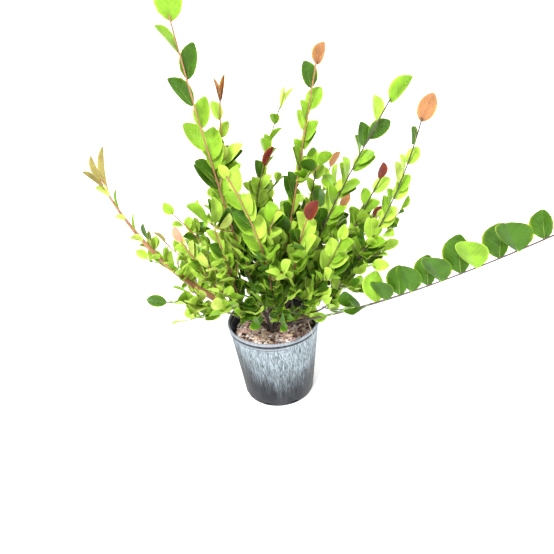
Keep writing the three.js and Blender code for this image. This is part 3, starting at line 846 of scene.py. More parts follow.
class Finish(Graph):
    """A material that is built up from expressions."""

    def __init__(self, name, roughness):
        self.material = bpy.data.materials.new(name)
        self.material.use_nodes = True
        super().__init__(self.material.node_tree)
        self.shader = self.tree.nodes["Principled BSDF"]
        self.set("Roughness", roughness)

    def set(self, name, value):
        self.feed(self.shader.inputs[name], value)

    def mix(self, factor, first, second):
        inputs = {0: factor, 6: colour(first), 7: colour(second)}
        return self.node("ShaderNodeMix", {"data_type": "RGBA"}, inputs, 2)

    def mottled(self, pattern, tone, dark, light):
        """A tone between its dark and its light shade, as a pattern goes."""
        return self.mix(pattern, shade(tone, dark), shade(tone, light))

    @cached_property
    def place(self):
        """The point on the piece, in metres."""
        return self.node("ShaderNodeTexCoord", output="Object")

    def axes(self, vector):
        split = self.node("ShaderNodeSeparateXYZ", {}, {"Vector": vector})
        return [Value(self, output) for output in split.socket.node.outputs]

    def scaled(self, scale):
        return self.node("ShaderNodeVectorMath", {"operation": "MULTIPLY"}, {0: self.place, 1: scale})

    def noise(self, scale, detail=3.0, roughness=0.55):
        inputs = {"Vector": self.scaled(scale), "Scale": 1.0, "Detail": detail, "Roughness": roughness}
        return self.node("ShaderNodeTexNoise", {}, inputs)

    def bump(self, height, distance):
        self.set("Normal", self.node("ShaderNodeBump", {}, {"Height": height, "Distance": distance,
                                                            "Strength": 1.0}))


def colour(value):
    """A colour with its fourth number, or a socket as it is."""
    return value if isinstance(value, Value) else (*value, 1.0)


def shade(tone, factor):
    return tuple(min(1.0, part * factor) for part in tone)


def grained_finish(name, tone, grain, detail, broad, shades, depth, roughness):
    """Fine grain between a dark and a light shade of a tone, with broad patches of a third."""
    finish = Finish(name, roughness)
    fine = finish.noise(grain, *detail)
    dark, light, patch = shades
    body = finish.mottled(fine.between(0.35, 0.68), tone, dark, light)
    patches = finish.noise((broad,) * 3).between(0.35, 0.7) * 0.5
    finish.set("Base Color", finish.mix(patches, body, shade(tone, patch)))
    finish.bump(fine, depth)
    return finish.material


# Modelling tools


def settings():
    return bpy.context.scene.coco_plum


def pick(*objects):
    bpy.ops.object.select_all(action="DESELECT")
    for obj in objects:
        obj.select_set(True)
    bpy.context.view_layer.objects.active = objects[0]


def select_where(obj, test):
    """In edit mode: selects the vertices that pass the test."""
    mesh = bmesh.from_edit_mesh(obj.data)
    bpy.ops.mesh.select_all(action="DESELECT")
    for vertex in mesh.verts:
        if test(vertex):
            vertex.select = True
    mesh.select_flush(True)
    bmesh.update_edit_mesh(obj.data)


def apply_modifier(obj, name, kind, **values):
    pick(obj)
    modifier = obj.modifiers.new(name, kind)
    for key, value in values.items():
        setattr(modifier, key, value)
    bpy.ops.object.modifier_apply(modifier=modifier.name)


def settle(obj):
    """Puts the object's place, turn and scale into its mesh."""
    pick(obj)
    bpy.ops.object.transform_apply(location=True, rotation=True, scale=True)


def displace(obj, pattern, grain, strength, middle):
    """Relief on the whole surface, by a pattern with its grain and height in metres."""
    texture = bpy.data.textures.new(obj.name + " relief", pattern)
    texture.noise_scale = grain
    apply_modifier(obj, "Relief", "DISPLACE", texture=texture, texture_coords="LOCAL", mid_level=middle,
                   strength=strength)


def join(name, objects):
    pick(*objects)
    if len(objects) > 1:
        bpy.ops.object.join()
    made = bpy.context.view_layer.objects.active
    made.name = name
    made.data.name = name
    return made


def smooth(obj, degrees):
    pick(obj)
    bpy.ops.object.shade_smooth_by_angle(angle=math.radians(degrees))


def finish_piece(obj, slot, nodes, *materials):
    obj.data.materials.clear()
    for material in materials:
        obj.data.materials.append(material)
    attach(obj, "root")
    if nodes:
        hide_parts(*nodes)
    return obj


def turned(name, profile, sides):
    """A closed turned shell, from its radius and height at each ring, underside first."""
    bpy.ops.object.select_all(action="DESELECT")
    radius, height = profile[0]
    bpy.ops.mesh.primitive_circle_add(vertices=sides, radius=radius, fill_type="NGON",
                                      location=(0, 0, height))
    obj = bpy.context.object
    obj.name = name
    bpy.ops.object.transform_apply(location=True)
    bpy.ops.object.mode_set(mode="EDIT")
    bpy.ops.mesh.select_mode(type="FACE")
    bpy.ops.mesh.select_all(action="SELECT")
    for (last_radius, last_height), (radius, height) in zip(profile, profile[1:]):
        bpy.ops.mesh.extrude_region_move(TRANSFORM_OT_translate={"value": (0, 0, height - last_height)})
        size = radius / last_radius
        bpy.ops.transform.resize(value=(size, size, 1), center_override=(0, 0, height))
    bpy.ops.mesh.select_all(action="SELECT")
    bpy.ops.mesh.normals_make_consistent(inside=False)
    bpy.ops.object.mode_set(mode="OBJECT")
    return obj


def tubes(name, runs, resolution):
    """Round tubes along lines of points, each with its radii, as one mesh."""
    curve = bpy.data.curves.new(name, "CURVE")
    curve.dimensions = "3D"
    curve.bevel_depth = 1.0
    curve.bevel_resolution = resolution
    curve.use_fill_caps = True
    for points, radii in runs:
        spline = curve.splines.new("POLY")
        spline.points.add(len(points) - 1)
        for spot, point, radius in zip(spline.points, points, radii):
            spot.co = (*point, 1)
            spot.radius = radius
    obj = bpy.data.objects.new(name, curve)
    bpy.context.collection.objects.link(obj)
    pick(obj)
    bpy.ops.object.convert(target="MESH")
    return bpy.context.object


def scatter_group(template):
    """Nodes that put the template on every point, by the points' turn and size, and make it real."""
    tree = bpy.data.node_groups.new("Scatter " + template.name, "GeometryNodeTree")
    for direction in ("INPUT", "OUTPUT"):
        tree.interface.new_socket("Geometry", in_out=direction, socket_type="NodeSocketGeometry")
    graph = Graph(tree)
    points = graph.node("NodeGroupInput")
    shape = graph.node("GeometryNodeObjectInfo", {}, {"Object": template}, "Geometry")
    turn, size = [graph.node("GeometryNodeInputNamedAttribute", {"data_type": "FLOAT_VECTOR"}, {"Name": name})
                  for name in ("turn", "size")]
    rotation = graph.node("FunctionNodeEulerToRotation", {}, {0: turn})
    placed = graph.node("GeometryNodeInstanceOnPoints", {}, {"Points": points, "Instance": shape,
                                                             "Rotation": rotation, "Scale": size})
    real = graph.node("GeometryNodeRealizeInstances", {}, {0: placed})
    graph.node("NodeGroupOutput", {}, {0: real})
    return tree


def scatter(name, template, spots):
    """Copies of a template, one at each spot's place, turn and size, as one mesh."""
    cloud = bpy.data.meshes.new(name)
    cloud.from_pydata([spot[0] for spot in spots], [], [])
    for label, column in (("turn", 1), ("size", 2)):
        attribute = cloud.attributes.new(label, "FLOAT_VECTOR", "POINT")
        attribute.data.foreach_set("vector", np.array([spot[column] for spot in spots], float).ravel())
    obj = bpy.data.objects.new(name, cloud)
    bpy.context.collection.objects.link(obj)
    apply_modifier(obj, "Scatter", "NODES", node_group=scatter_group(template))
    for label in ("turn", "size"):
        attribute = obj.data.attributes.get(label)
        if attribute:
            obj.data.attributes.remove(attribute)
    return obj


# The user's sizes and colours


def length_setting(name, description, default):
    return bpy.props.FloatProperty(name=name, description=description, default=default, unit="LENGTH",
                                   subtype="DISTANCE")


def angle_setting(name, description, degrees):
    return bpy.props.FloatProperty(name=name, description=description, default=math.radians(degrees),
                                   unit="ROTATION", subtype="ANGLE")


def colour_setting(name, description, default):
    return bpy.props.FloatVectorProperty(name=name, description=description, default=default,
                                         subtype="COLOR")


class PotSettings(bpy.types.PropertyGroup):
    """Sizes and colours of the nursery pot."""

    rim_radius: length_setting("Rim radius", "Outer radius of the rolled lip", POT_HIGH.x)
    base_radius: length_setting("Base radius", "Radius that the wall would have at the ground", 0.099)
    height: length_setting("Height", "Height of the lip above the underside", POT_HIGH.z)
    wall: length_setting("Wall", "Thickness of the wall", 0.0026)
    floor: length_setting("Floor", "Thickness of the floor", 0.003)
    warp: length_setting("Warp", "How far the used pot is out of round at its lip", 0.0014)
    plastic: colour_setting("Plastic", "Dark plastic where the bloom has not settled", (0.011, 0.012, 0.015))
    bloom: colour_setting("Bloom", "Chalky weathering in vertical streaks", (0.29, 0.345, 0.38))
    # Six times this tone also gives the worn lip and the painted highlight on the ridge.
    dust: colour_setting("Dust", "Earthy dust near the ground and on the ledges", (0.036, 0.037, 0.042))


class MulchSettings(bpy.types.PropertyGroup):
    """The potting mix and the bark chips on it."""

    chips: bpy.props.IntProperty(
        name="Chips", description="Number of bark chips on the potting mix", default=1500)
    chip_length: length_setting("Chip length", "Length of the longest chips", 0.016)
    mix: colour_setting("Potting mix", "The dark mix between the chips", (0.018, 0.01, 0.008))
    red_bark: colour_setting("Red bark", "Most of the chips", (0.45, 0.265, 0.225))
    dark_bark: colour_setting("Dark bark", "Damp and shaded chips", (0.09, 0.045, 0.034))
    pale_bark: colour_setting("Pale bark", "Sun-bleached chips", (0.74, 0.62, 0.56))
    dry_leaf: colour_setting("Dry leaf", "Dry leaf scraps that lie on the chips", (0.6, 0.45, 0.31))


class PlantSettings(bpy.types.PropertyGroup):
    """Colours of the plant."""

    bark: colour_setting("Bark", "Bark of the stems and main boughs", (0.062, 0.045, 0.034))
    rosy: colour_setting("Rosy twigs", "Young shoots in the sun", (0.34, 0.15, 0.07))
    brown: colour_setting("Brown twigs", "Ripened shoots", (0.075, 0.052, 0.042))
    green: colour_setting("Green twigs", "Soft shoots in the shade", (0.14, 0.15, 0.03))
    rib: colour_setting("Midribs", "Midribs and leaf stalks", (0.34, 0.42, 0.09))
    young_rib: colour_setting("Young midribs", "Midribs of red and orange leaves", (0.42, 0.12, 0.05))
    dead: colour_setting("Dead twigs", "Thin bare twigs low in the plant", (0.5, 0.46, 0.34))


class StageSettings(bpy.types.PropertyGroup):
    """Floor, lights and camera."""

    floor: colour_setting("Floor", "Colour of the plain floor", (0.82, 0.82, 0.82))
    floor_size: length_setting("Floor size", "Side of the floor", 40.0)
    sky: bpy.props.FloatProperty(
        name="Sky", description="Strength of the light from all round", default=1.7)
    key: bpy.props.FloatProperty(
        name="Key light", description="Strength of the light from the upper left", default=5.0)
    fill: bpy.props.FloatProperty(
        name="Fill light", description="Power of the light at the right", default=40.0, unit="POWER")
    lens: bpy.props.FloatProperty(
        name="Lens", description="Focal length on a 36 mm sensor", default=40.29, unit="CAMERA")
    camera: bpy.props.FloatVectorProperty(
        name="Camera", description="Place of the camera", default=(0.02, -1.426, 1.217), unit="LENGTH",
        subtype="TRANSLATION")
    pitch: angle_setting("Pitch", "How far the camera looks down", 30.7)
    roll: angle_setting("Roll", "How far the camera leans", -5.1)


class CocoPlumSettings(bpy.types.PropertyGroup):
    """All settings of the potted plant."""

    pot: bpy.props.PointerProperty(type=PotSettings)
    mulch: bpy.props.PointerProperty(type=MulchSettings)
    plant: bpy.props.PointerProperty(type=PlantSettings)
    stage: bpy.props.PointerProperty(type=StageSettings)


# Pot


def wall_radius(height):
    pot = settings().pot
    return lerp(pot.base_radius, pot.rim_radius - LIP_PROUD, height / pot.height)


def lip_levels():
    """The heights of the ridge's foot and top and of the lip's foot."""
    lip_low = settings().pot.height - LIP_HEIGHT
    ridge_top = lip_low - GROOVE_HEIGHT
    return ridge_top - RIDGE_HEIGHT, ridge_top, lip_low


def pot_profile():
    """Radii and heights: from the recess in the underside up the wall, over the lip and down inside."""
    pot = settings().pot
    edge = wall_radius(POT_EDGE) - POT_EDGE
    points = [(RECESS_RADIUS, RECESS_DEPTH), (RECESS_RADIUS + RECESS_DEPTH, 0)]
    for angle in [lerp(-math.pi / 2, 0, share) for share in even_shares(POT_EDGE_STEPS)]:
        points.append((edge + POT_EDGE * math.cos(angle), POT_EDGE + POT_EDGE * math.sin(angle)))
    ridge_low, ridge_top, lip_low = lip_levels()
    wall_shares = even_shares(POT_WALL_RINGS)[1:]
    for height in [lerp(POT_EDGE, ridge_low, share) for share in wall_shares]:
        points.append((wall_radius(height), height))
    points += [
        (wall_radius(ridge_low) + LIP_PROUD * 0.8, ridge_low + RIDGE_SLOPE * 0.6),
        (wall_radius(ridge_low) + LIP_PROUD, ridge_low + RIDGE_SLOPE * 2),
        (wall_radius(ridge_top) + LIP_PROUD, ridge_top - RIDGE_SLOPE * 2),
        (wall_radius(ridge_top) + LIP_PROUD * 0.8, ridge_top - RIDGE_SLOPE * 0.6),
        (wall_radius(ridge_top), ridge_top),
        (wall_radius(lip_low), lip_low),
        (pot.rim_radius - LIP_ROUND, lip_low + LIP_ROUND * 0.5),
        (pot.rim_radius, lip_low + LIP_ROUND * 1.5),
        (pot.rim_radius, pot.height - LIP_ROUND * 2),
        (pot.rim_radius - LIP_ROUND, pot.height - LIP_ROUND * 0.4),
        (pot.rim_radius - LIP_ROUND * 2, pot.height),
        (wall_radius(pot.height) - pot.wall, pot.height - LIP_ROUND * 0.3),
        (wall_radius(lip_low) - pot.wall, lip_low),
    ]
    for height in [lerp(lip_low, pot.floor + POT_EDGE, share) for share in wall_shares]:
        points.append((wall_radius(height) - pot.wall, height))
    inside = wall_radius(pot.floor) - pot.wall
    points.append((inside - POT_EDGE / 2, pot.floor + POT_EDGE * 0.15))
    points.append((inside - POT_EDGE, pot.floor))
    return points


def cut_drain_slots(pot):
    cutters = []
    for i in range(DRAIN_SLOTS):
        bpy.ops.mesh.primitive_cube_add(size=1, location=(wall_radius(DRAIN_HEIGHT), 0, DRAIN_HEIGHT))
        cutter = bpy.context.object
        cutter.scale = DRAIN_SIZE
        settle(cutter)
        apply_modifier(cutter, "Bevel", "BEVEL", width=DRAIN_ROUND, segments=3)
        cutter.rotation_euler.z = (i + 0.5) / DRAIN_SLOTS * 2 * math.pi
        settle(cutter)
        cutters.append(cutter)
    cutter = join("drain_cutter", cutters)
    apply_modifier(pot, "Drain slots", "BOOLEAN", operation="DIFFERENCE", object=cutter, solver="EXACT")
    bpy.data.objects.remove(cutter)


# Where the ridge under the lip is worn down, and by how much, and the lobes of the warp: how many
# there are round the pot, where they start in radians, and their share of the warp
RIDGE_FADE_AZIMUTH = math.radians(-28)
RIDGE_FADE_WIDTH = 1.05
RIDGE_FADE = 0.85
WARP_LOBES = ((2, 0.7, 0.7), (3, 2.1, 0.5), (7, 0.4, 0.18))


def warp_pot(pot):
    """A used pot is a little out of round, and its ridge is worn flat on one side."""
    size = settings().pot
    ridge_low, ridge_top, _ = lip_levels()
    for vertex in pot.data.vertices:
        radius = math.hypot(vertex.co.x, vertex.co.y)
        if radius < RECESS_RADIUS:
            continue
        azimuth = math.atan2(vertex.co.y, vertex.co.x)
        height = vertex.co.z / size.height
        wave = sum(share * math.cos(count * azimuth + start) for count, start, share in WARP_LOBES)
        grown = radius + wave * size.warp * height ** 2
        proud = radius - wall_radius(vertex.co.z)
        if ridge_low < vertex.co.z < ridge_top and proud > 0:
            away = abs((azimuth - RIDGE_FADE_AZIMUTH + math.pi) % (2 * math.pi) - math.pi)
            grown -= proud * RIDGE_FADE * (1 - smoothstep(away, RIDGE_FADE_WIDTH * 0.5, RIDGE_FADE_WIDTH))
        vertex.co.x *= grown / radius
        vertex.co.y *= grown / radius


# The patterns on the pot: how fine along each axis, detail and roughness
STREAKS = ((620, 620, 16), 5.0, 0.62)
RUNS = ((190, 190, 7), 4.0, 0.6)
PATCHES = ((34, 34, 16), 4.0, 0.6)
SPECKS = ((300, 300, 110), 4.0, 0.7)
# How the bloom grows with height, with nearness to its azimuth, with patches and runs, and where it begins
BLOOM_AZIMUTH = math.radians(-73)
BLOOM_WEIGHTS = (1.7, 1.02, 0.8, 0.6)
BLOOM_START = 2.1
# A short upright crease below the lip, darkened with painted shade, in metres across and shares of the pot's
# height
CREASE_AZIMUTH = math.radians(-58)
CREASE_WIDTH = 0.002
CREASE_STRAY = 0.004
CREASE_STRETCH = (0.74, 0.8, 0.86, 0.89)
# The step, in metres, that sets the bands of wear, painted highlight and painted shade at lip and ridge
BAND_STEP = 0.0002


def pot_finish():
    """Black plastic under a chalky bloom, which is thickest high up and towards the front, with a painted
    highlight on the ridge and painted shade in the groove, under the ridge and down a crease.
    """
    size = settings().pot
    finish = Finish("weathered black plastic", 0.62)
    finish.set("Specular IOR Level", 0.15)
    streaks, runs, patches, specks = [finish.noise(*kind) for kind in (STREAKS, RUNS, PATCHES, SPECKS)]
    x, y, z = finish.axes(finish.place)
    height = z / size.height
    facing_bloom_azimuth = (x * math.cos(BLOOM_AZIMUTH) + y * math.sin(BLOOM_AZIMUTH)) / size.rim_radius
    causes = (height, facing_bloom_azimuth.between(-0.6, 1.0), patches, runs)
    level = sum(cause * weight for cause, weight in zip(causes, BLOOM_WEIGHTS)) - BLOOM_START
    grain = (streaks * 1.1 + runs * 0.5).between(0.62, 0.95)
    chalk = level.between(-0.2, 1.0) * (grain * 0.66 + 0.34)
    plastic = finish.mottled(runs.between(0.35, 0.7), size.plastic, 0.75, 1.5)
    bloom = finish.mottled(streaks.between(0.4, 0.65), size.bloom, 0.72, 1.12)
    body = finish.mix(chalk, plastic, bloom)
    body = finish.mix(specks.between(0.58, 0.68) * 0.7, body, shade(size.plastic, 1.2))
    low = (1 - height.between(0.0, 0.34)) * patches.between(0.38, 0.66)
    body = finish.mix(low * 0.75, body, size.dust)
    ridge_low, ridge_top, lip_low = lip_levels()
    # At the left, where the ridge stands proud, it gets a painted highlight on its top and a painted shadow
    # under it.
    raised = 1 - (x / size.rim_radius).between(-0.1, 0.5)
    lip = z.between(lip_low - BAND_STEP * 2, lip_low + BAND_STEP * 3)
    ridge = z.band(ridge_low, ridge_low + BAND_STEP * 4, ridge_top - BAND_STEP * 6, ridge_top) * raised
    # The lip and the ridge turn a paler grey: worn plastic on the lip, a painted highlight on the ridge.
    worn = (lip + ridge) * (patches.between(0.25, 0.7) * 0.6 + 0.3)
    body = finish.mix(worn, body, shade(size.dust, 6))
    # Painted shade: the groove between ridge and lip, and a painted shadow band just under the ridge.
    shaded_groove = z.band(ridge_top - BAND_STEP * 6, ridge_top + BAND_STEP * 3, lip_low - BAND_STEP * 3, lip_low)
    under = z.band(ridge_low - BAND_STEP * 20, ridge_low - BAND_STEP * 5, ridge_low, ridge_low + BAND_STEP * 4) * raised
    body = finish.mix((shaded_groove + under) * 0.85, body, shade(size.plastic, 0.6))
    # Painted shade: a thin dark line down the crease, which the bump also dents.
    side = x * math.sin(CREASE_AZIMUTH) - y * math.cos(CREASE_AZIMUTH)
    front = (x * math.cos(CREASE_AZIMUTH) + y * math.sin(CREASE_AZIMUTH)).between(0, 0.02)
    away = abs(side + runs * CREASE_STRAY - CREASE_STRAY / 2) / CREASE_WIDTH
    crease = (1 - away.between(0.4, 1.0)) * height.band(*CREASE_STRETCH) * front
    finish.set("Base Color", finish.mix(crease * 0.9, body, shade(size.plastic, 0.5)))
    finish.set("Roughness", 0.46 + chalk * 0.36)
    finish.bump(streaks * 0.5 + runs * 0.8 + chalk * 0.35 - crease * 1.5, 0.0006)
    return finish.material


class PLANT_OT_pot(bpy.types.Operator):
    """Models the nursery pot with its rolled lip, ridge and drain slots"""

    bl_idname = "coco_plum.pot"
    bl_label = "Nursery Pot"
    bl_options = {"REGISTER", "UNDO"}

    def execute(self, context):
        pot = turned("nursery_pot", pot_profile(), POT_SIDES)
        cut_drain_slots(pot)
        warp_pot(pot)
        smooth(pot, 38)
        finish_piece(pot, "pot_plastic", ["pot"], pot_finish())
        return {"FINISHED"}


# Potting mix and mulch

SOIL_RINGS = 26
SOIL_SIDES = 96
SOIL_CLEAR = 0.0006
SOIL_FOOT = 0.03
# Lumps: their grain and height in metres, and the level of the pattern that stays in place
SOIL_LUMPS = (0.012, 0.0025, 0.7)
SOIL_SUNK = 0.001
SOIL_EDGE_DROP = 0.006
SOIL_WALL_HEIGHTS = (0.06, 0.11, 0.16)
# Each form of chip is a little wider and thicker than the last one, as shares of its length
CHIP_FORMS = 5
CHIP_WIDTH = 0.52
CHIP_WIDER = 0.08
CHIP_THICKNESS = 0.2
CHIP_THICKER = 0.03
CHIP_CUTS = 2
CHIP_TORN = 0.085
CHIP_KEPT = 0.5
CHIP_LEAN = 0.9
CHIP_SHORTEST = 0.28
# From where a chip's ends are drawn in, to what size, and how far askew
CHIP_END = 0.4
CHIP_END_SIZE = (1.0, 0.62, 0.5)
CHIP_ASKEW = 0.03
# How chips lie: mostly short ones, off the wall by a share of their length, each at a stray from
# the even spread, and lifted, widened and thickened within a range
CHIP_CROWDING = 1.6
CHIP_OFF_WALL = 0.6
CHIP_MARGIN = 0.004
CHIP_STRAY = 0.8
CHIP_LIFTS = (0.02, 0.16)
CHIP_WIDTHS = (0.8, 1.15)
CHIP_DEPTHS = (0.7, 1.3)
CHIP_SHARES = {"red": 0.45, "dark": 0.25, "pale": 0.3}
# How fine the grain of each kind is
MIX_GRAIN = (700,) * 3
CHIP_GRAIN = (420,) * 3
SCRAP_GRAIN = (300,) * 3
GOLDEN_ANGLE = 2.399963
MULCH_SEED = 41
MULCH_GRAIN = {"detail": (6.0, 0.65), "broad": 60, "shades": (0.55, 1.5, 0.8), "depth": 0.0009,
               "roughness": 0.9}


def soil_height(radius):
    """The mix sinks a little towards the wall."""
    return SOIL_HIGH.z - SOIL_SUNK - SOIL_EDGE_DROP * (radius / SOIL_HIGH.x) ** 2


def soil_profile():
    pot = settings().pot
    low = pot.floor + SEAT * MM
    points = [(SOIL_FOOT, low), (wall_radius(low) - pot.wall - POT_EDGE, low)]
    for height in (POT_EDGE + pot.floor, *SOIL_WALL_HEIGHTS):
        points.append((wall_radius(height) - pot.wall - SOIL_CLEAR, height))
    edge = wall_radius(soil_height(SOIL_HIGH.x)) - pot.wall - SOIL_CLEAR
    for i in range(SOIL_RINGS):
        radius = edge * (1 - i / SOIL_RINGS)
        points.append((radius, soil_height(radius)))
    return points


def chip_form(index):
    """One bark flake: a flat block with torn ends and layers."""
    bpy.ops.object.select_all(action="DESELECT")
    bpy.ops.mesh.primitive_cube_add(size=1)
    chip = bpy.context.object
    chip.name = f"chip_form_{index}"
    chip.scale = (1.0, CHIP_WIDTH + CHIP_WIDER * index, CHIP_THICKNESS + CHIP_THICKER * index)
    settle(chip)
    bpy.ops.object.mode_set(mode="EDIT")
    bpy.ops.mesh.select_all(action="SELECT")
    bpy.ops.mesh.subdivide(number_cuts=CHIP_CUTS, quadcorner="INNERVERT")
    select_where(chip, lambda vertex: abs(vertex.co.x) > CHIP_END)
    bpy.ops.transform.resize(value=CHIP_END_SIZE, center_override=(0, CHIP_ASKEW * index, 0))
    bpy.ops.mesh.select_all(action="SELECT")
    bpy.ops.transform.vertex_random(offset=CHIP_TORN, seed=MULCH_SEED + index)
    bpy.ops.object.mode_set(mode="OBJECT")
    apply_modifier(chip, "Thin out", "DECIMATE", ratio=CHIP_KEPT)
    smooth(chip, 30)
    return chip


def chip_spots(random, count, reach, lengths):
    """Places on the potting mix, evenly spread over its disc and clear of the stems."""
    spots = []
    for i in range(count):
        length = lerp(*lengths, random() ** CHIP_CROWDING)
        radius = (reach - length * CHIP_OFF_WALL) * math.sqrt((i + random()) / count)
        azimuth = i * GOLDEN_ANGLE + random() * CHIP_STRAY
        lift = length * lerp(*CHIP_LIFTS, random())
        turn = random_turn(random, CHIP_LEAN)
        size = (length, length * lerp(*CHIP_WIDTHS, random()), length * lerp(*CHIP_DEPTHS, random()))
        spots.append((on_soil(radius, azimuth, lift), turn, size))
    return spots


def on_soil(radius, azimuth, lift):
    return (radius * math.cos(azimuth), radius * math.sin(azimuth), soil_height(radius) + lift)


def random_turn(random, lean):
    return ((random() - 0.5) * lean, (random() - 0.5) * lean, random() * 2 * math.pi)


# A scrap's width, how much it narrows to both ends, its curl across and along, and its thickness
SCRAP_WIDTH = 0.5
SCRAP_NARROWING = 0.75
SCRAP_CURLS = (0.14, 0.1)
SCRAP_THICKNESS = 0.02


def dry_leaf_form():
    """A curled scrap of dry leaf."""
    bpy.ops.object.select_all(action="DESELECT")
    bpy.ops.mesh.primitive_grid_add(x_subdivisions=5, y_subdivisions=3, size=1)
    scrap = bpy.context.object
    scrap.name = "dry_leaf_form"
    scrap.scale = (1, SCRAP_WIDTH, 1)
    settle(scrap)
    for vertex in scrap.data.vertices:
        across = vertex.co.y * 2 / SCRAP_WIDTH
        along = vertex.co.x * 2
        vertex.co.y *= 1 - SCRAP_NARROWING * along * along
        vertex.co.z = SCRAP_CURLS[0] * across * across + SCRAP_CURLS[1] * along * along
    apply_modifier(scrap, "Thickness", "SOLIDIFY", thickness=SCRAP_THICKNESS, offset=0)
    smooth(scrap, 50)
    return scrap


# Dry leaf scraps: how many lie at the left and elsewhere, where the left is and how wide, in
# radians, and the range of their places and lengths
DRY_LEAF_LEFT = 9
DRY_LEAF_OTHER = 4
DRY_LEAF_AZIMUTH = -2.5
DRY_LEAF_SPREAD = 0.75
DRY_LEAF_REACH = (0.035, 0.092)
DRY_LEAF_LENGTHS = (0.012, 0.024)
DRY_LEAF_LIFT = 0.007
DRY_LEAF_LEAN = 1.1


def dry_leaf_spots(random):
    spots = []
    for i in range(DRY_LEAF_LEFT + DRY_LEAF_OTHER):
        spread = DRY_LEAF_SPREAD if i < DRY_LEAF_LEFT else math.pi
        azimuth = DRY_LEAF_AZIMUTH + (random() * 2 - 1) * spread
        radius = lerp(*DRY_LEAF_REACH, random())
        length = lerp(*DRY_LEAF_LENGTHS, random())
        turn = random_turn(random, DRY_LEAF_LEAN)
        spots.append((on_soil(radius, azimuth, DRY_LEAF_LIFT), turn, (length, length, length)))
    return spots


class PLANT_OT_mulch(bpy.types.Operator):
    """Fills the pot with potting mix, and covers it with bark chips and dry leaf scraps"""

    bl_idname = "coco_plum.mulch"
    bl_label = "Potting Mix and Mulch"
    bl_options = {"REGISTER", "UNDO"}

    def execute(self, context):
        mulch = settings().mulch
        soil = turned("potting_mix", soil_profile(), SOIL_SIDES)
        displace(soil, "CLOUDS", *SOIL_LUMPS)
        smooth(soil, 60)
        finish_piece(soil, "bark_mulch", ["soil"],
                     grained_finish("dark potting mix", mulch.mix, MIX_GRAIN, **MULCH_GRAIN))
        forms = [chip_form(index) for index in range(CHIP_FORMS)]
        random = seeded(MULCH_SEED)
        lengths = (mulch.chip_length * CHIP_SHORTEST, mulch.chip_length)
        tones = {"red": mulch.red_bark, "dark": mulch.dark_bark, "pale": mulch.pale_bark}
        for kind, tone in tones.items():
            name = f"bark_chips_{kind}"
            count = int(mulch.chips * CHIP_SHARES[kind])
            spots = chip_spots(random, count, SOIL_HIGH.x - CHIP_MARGIN, lengths)
            parts = [scatter(f"{name}_{k}", form, spots[k::CHIP_FORMS]) for k, form in enumerate(forms)]
            finish_piece(join(name, parts), "bark_mulch", ["soil"],
                         grained_finish(name.replace("_", " "), tone, CHIP_GRAIN, **MULCH_GRAIN))
        scrap = dry_leaf_form()
        scraps = scatter("dry_leaf_scraps", scrap, dry_leaf_spots(random))
        finish_piece(scraps, "bark_mulch", ["soil"],
                     grained_finish("dry leaf", mulch.dry_leaf, SCRAP_GRAIN, **MULCH_GRAIN))
        for form in [*forms, scrap]:
            bpy.data.objects.remove(form)
        return {"FINISHED"}


# Stems and boughs

LIMB_POINTS = 22
STEM_SUNK = 9
LIMB_VOXEL = 0.0012
LIMB_SMOOTHING = {"factor": 0.6, "iterations": 4}
LIMB_RELIEF = (0.007, 0.0011, 0.55)
# How much thicker a stem is below the mix, and a bough inside its stem and just out of it
STEM_SWELL = 1.12
BOUGH_SWELLS = (1.35, 1.12)


def limb_runs(limbs):
    """Each limb's line and radii in metres. Stems reach down into the mix, boughs start inside
    their stems."""
    runs = []
    for limb in limbs.values():
        points = [limb.curve.at(share) * MM for share in even_shares(LIMB_POINTS)]
        radii = [limb.radius(share) * MM for share in even_shares(LIMB_POINTS)]
        if limb.flare:
            points.insert(0, points[0] - UP * STEM_SUNK * MM)
            radii.insert(0, radii[0] * STEM_SWELL)
        else:
            radii[:2] = [radius * swell for radius, swell in zip(radii, BOUGH_SWELLS)]
        runs.append((points, radii))
    return runs


def bark_finish():
    """Grey-brown bark with fine cracks along the stem and small pale breathing spots."""
    tone = settings().plant.bark
    bark = Finish("stem bark", 0.82)
    cracks = bark.noise((900, 900, 160), 6.0, 0.65)
    broad = bark.noise((90, 90, 40))
    cells = bark.node("ShaderNodeTexVoronoi", {}, {"Vector": bark.scaled((330, 330, 240)), "Scale": 1.0})
    dots = 1 - cells.between(0.1, 0.24)
    body = bark.mottled(cracks.between(0.36, 0.64), tone, 0.45, 1.35)
    weathered = bark.mix(broad.between(0.4, 0.7) * 0.6, body, shade(tone, 1.9))
    bark.set("Base Color", bark.mix(dots * 0.5, weathered, shade(tone, 2.6)))
    bark.bump(cracks + dots * 0.4, 0.0007)
    return bark.material


class PLANT_OT_limbs(bpy.types.Operator):
    """Grows the clump of stems and their boughs, as one skin with the bark's relief"""

    bl_idname = "coco_plum.limbs"
    bl_label = "Stems and Boughs"
    bl_options = {"REGISTER", "UNDO"}

    def execute(self, context):
        limbs, _ = grown_plant()
        wood = tubes("stems_and_boughs", limb_runs(limbs), 3)
        apply_modifier(wood, "One skin", "REMESH", mode="VOXEL", voxel_size=LIMB_VOXEL, use_smooth_shade=True)
        apply_modifier(wood, "Ease", "SMOOTH", **LIMB_SMOOTHING)
        displace(wood, "STUCCI", *LIMB_RELIEF)
        finish_piece(wood, "bark", list(limbs), bark_finish())
        return {"FINISHED"}


# Twigs

LEADER_POINTS = 26
LEADER_SUNK = 3
SHORT_TWIG_POINTS = 9
TWIG_GRAIN = {"grain": (800, 800, 260), "detail": (4.0, 0.6), "broad": 45, "shades": (0.7, 1.3, 0.62),
              "depth": 0.0003, "roughness": 0.55}


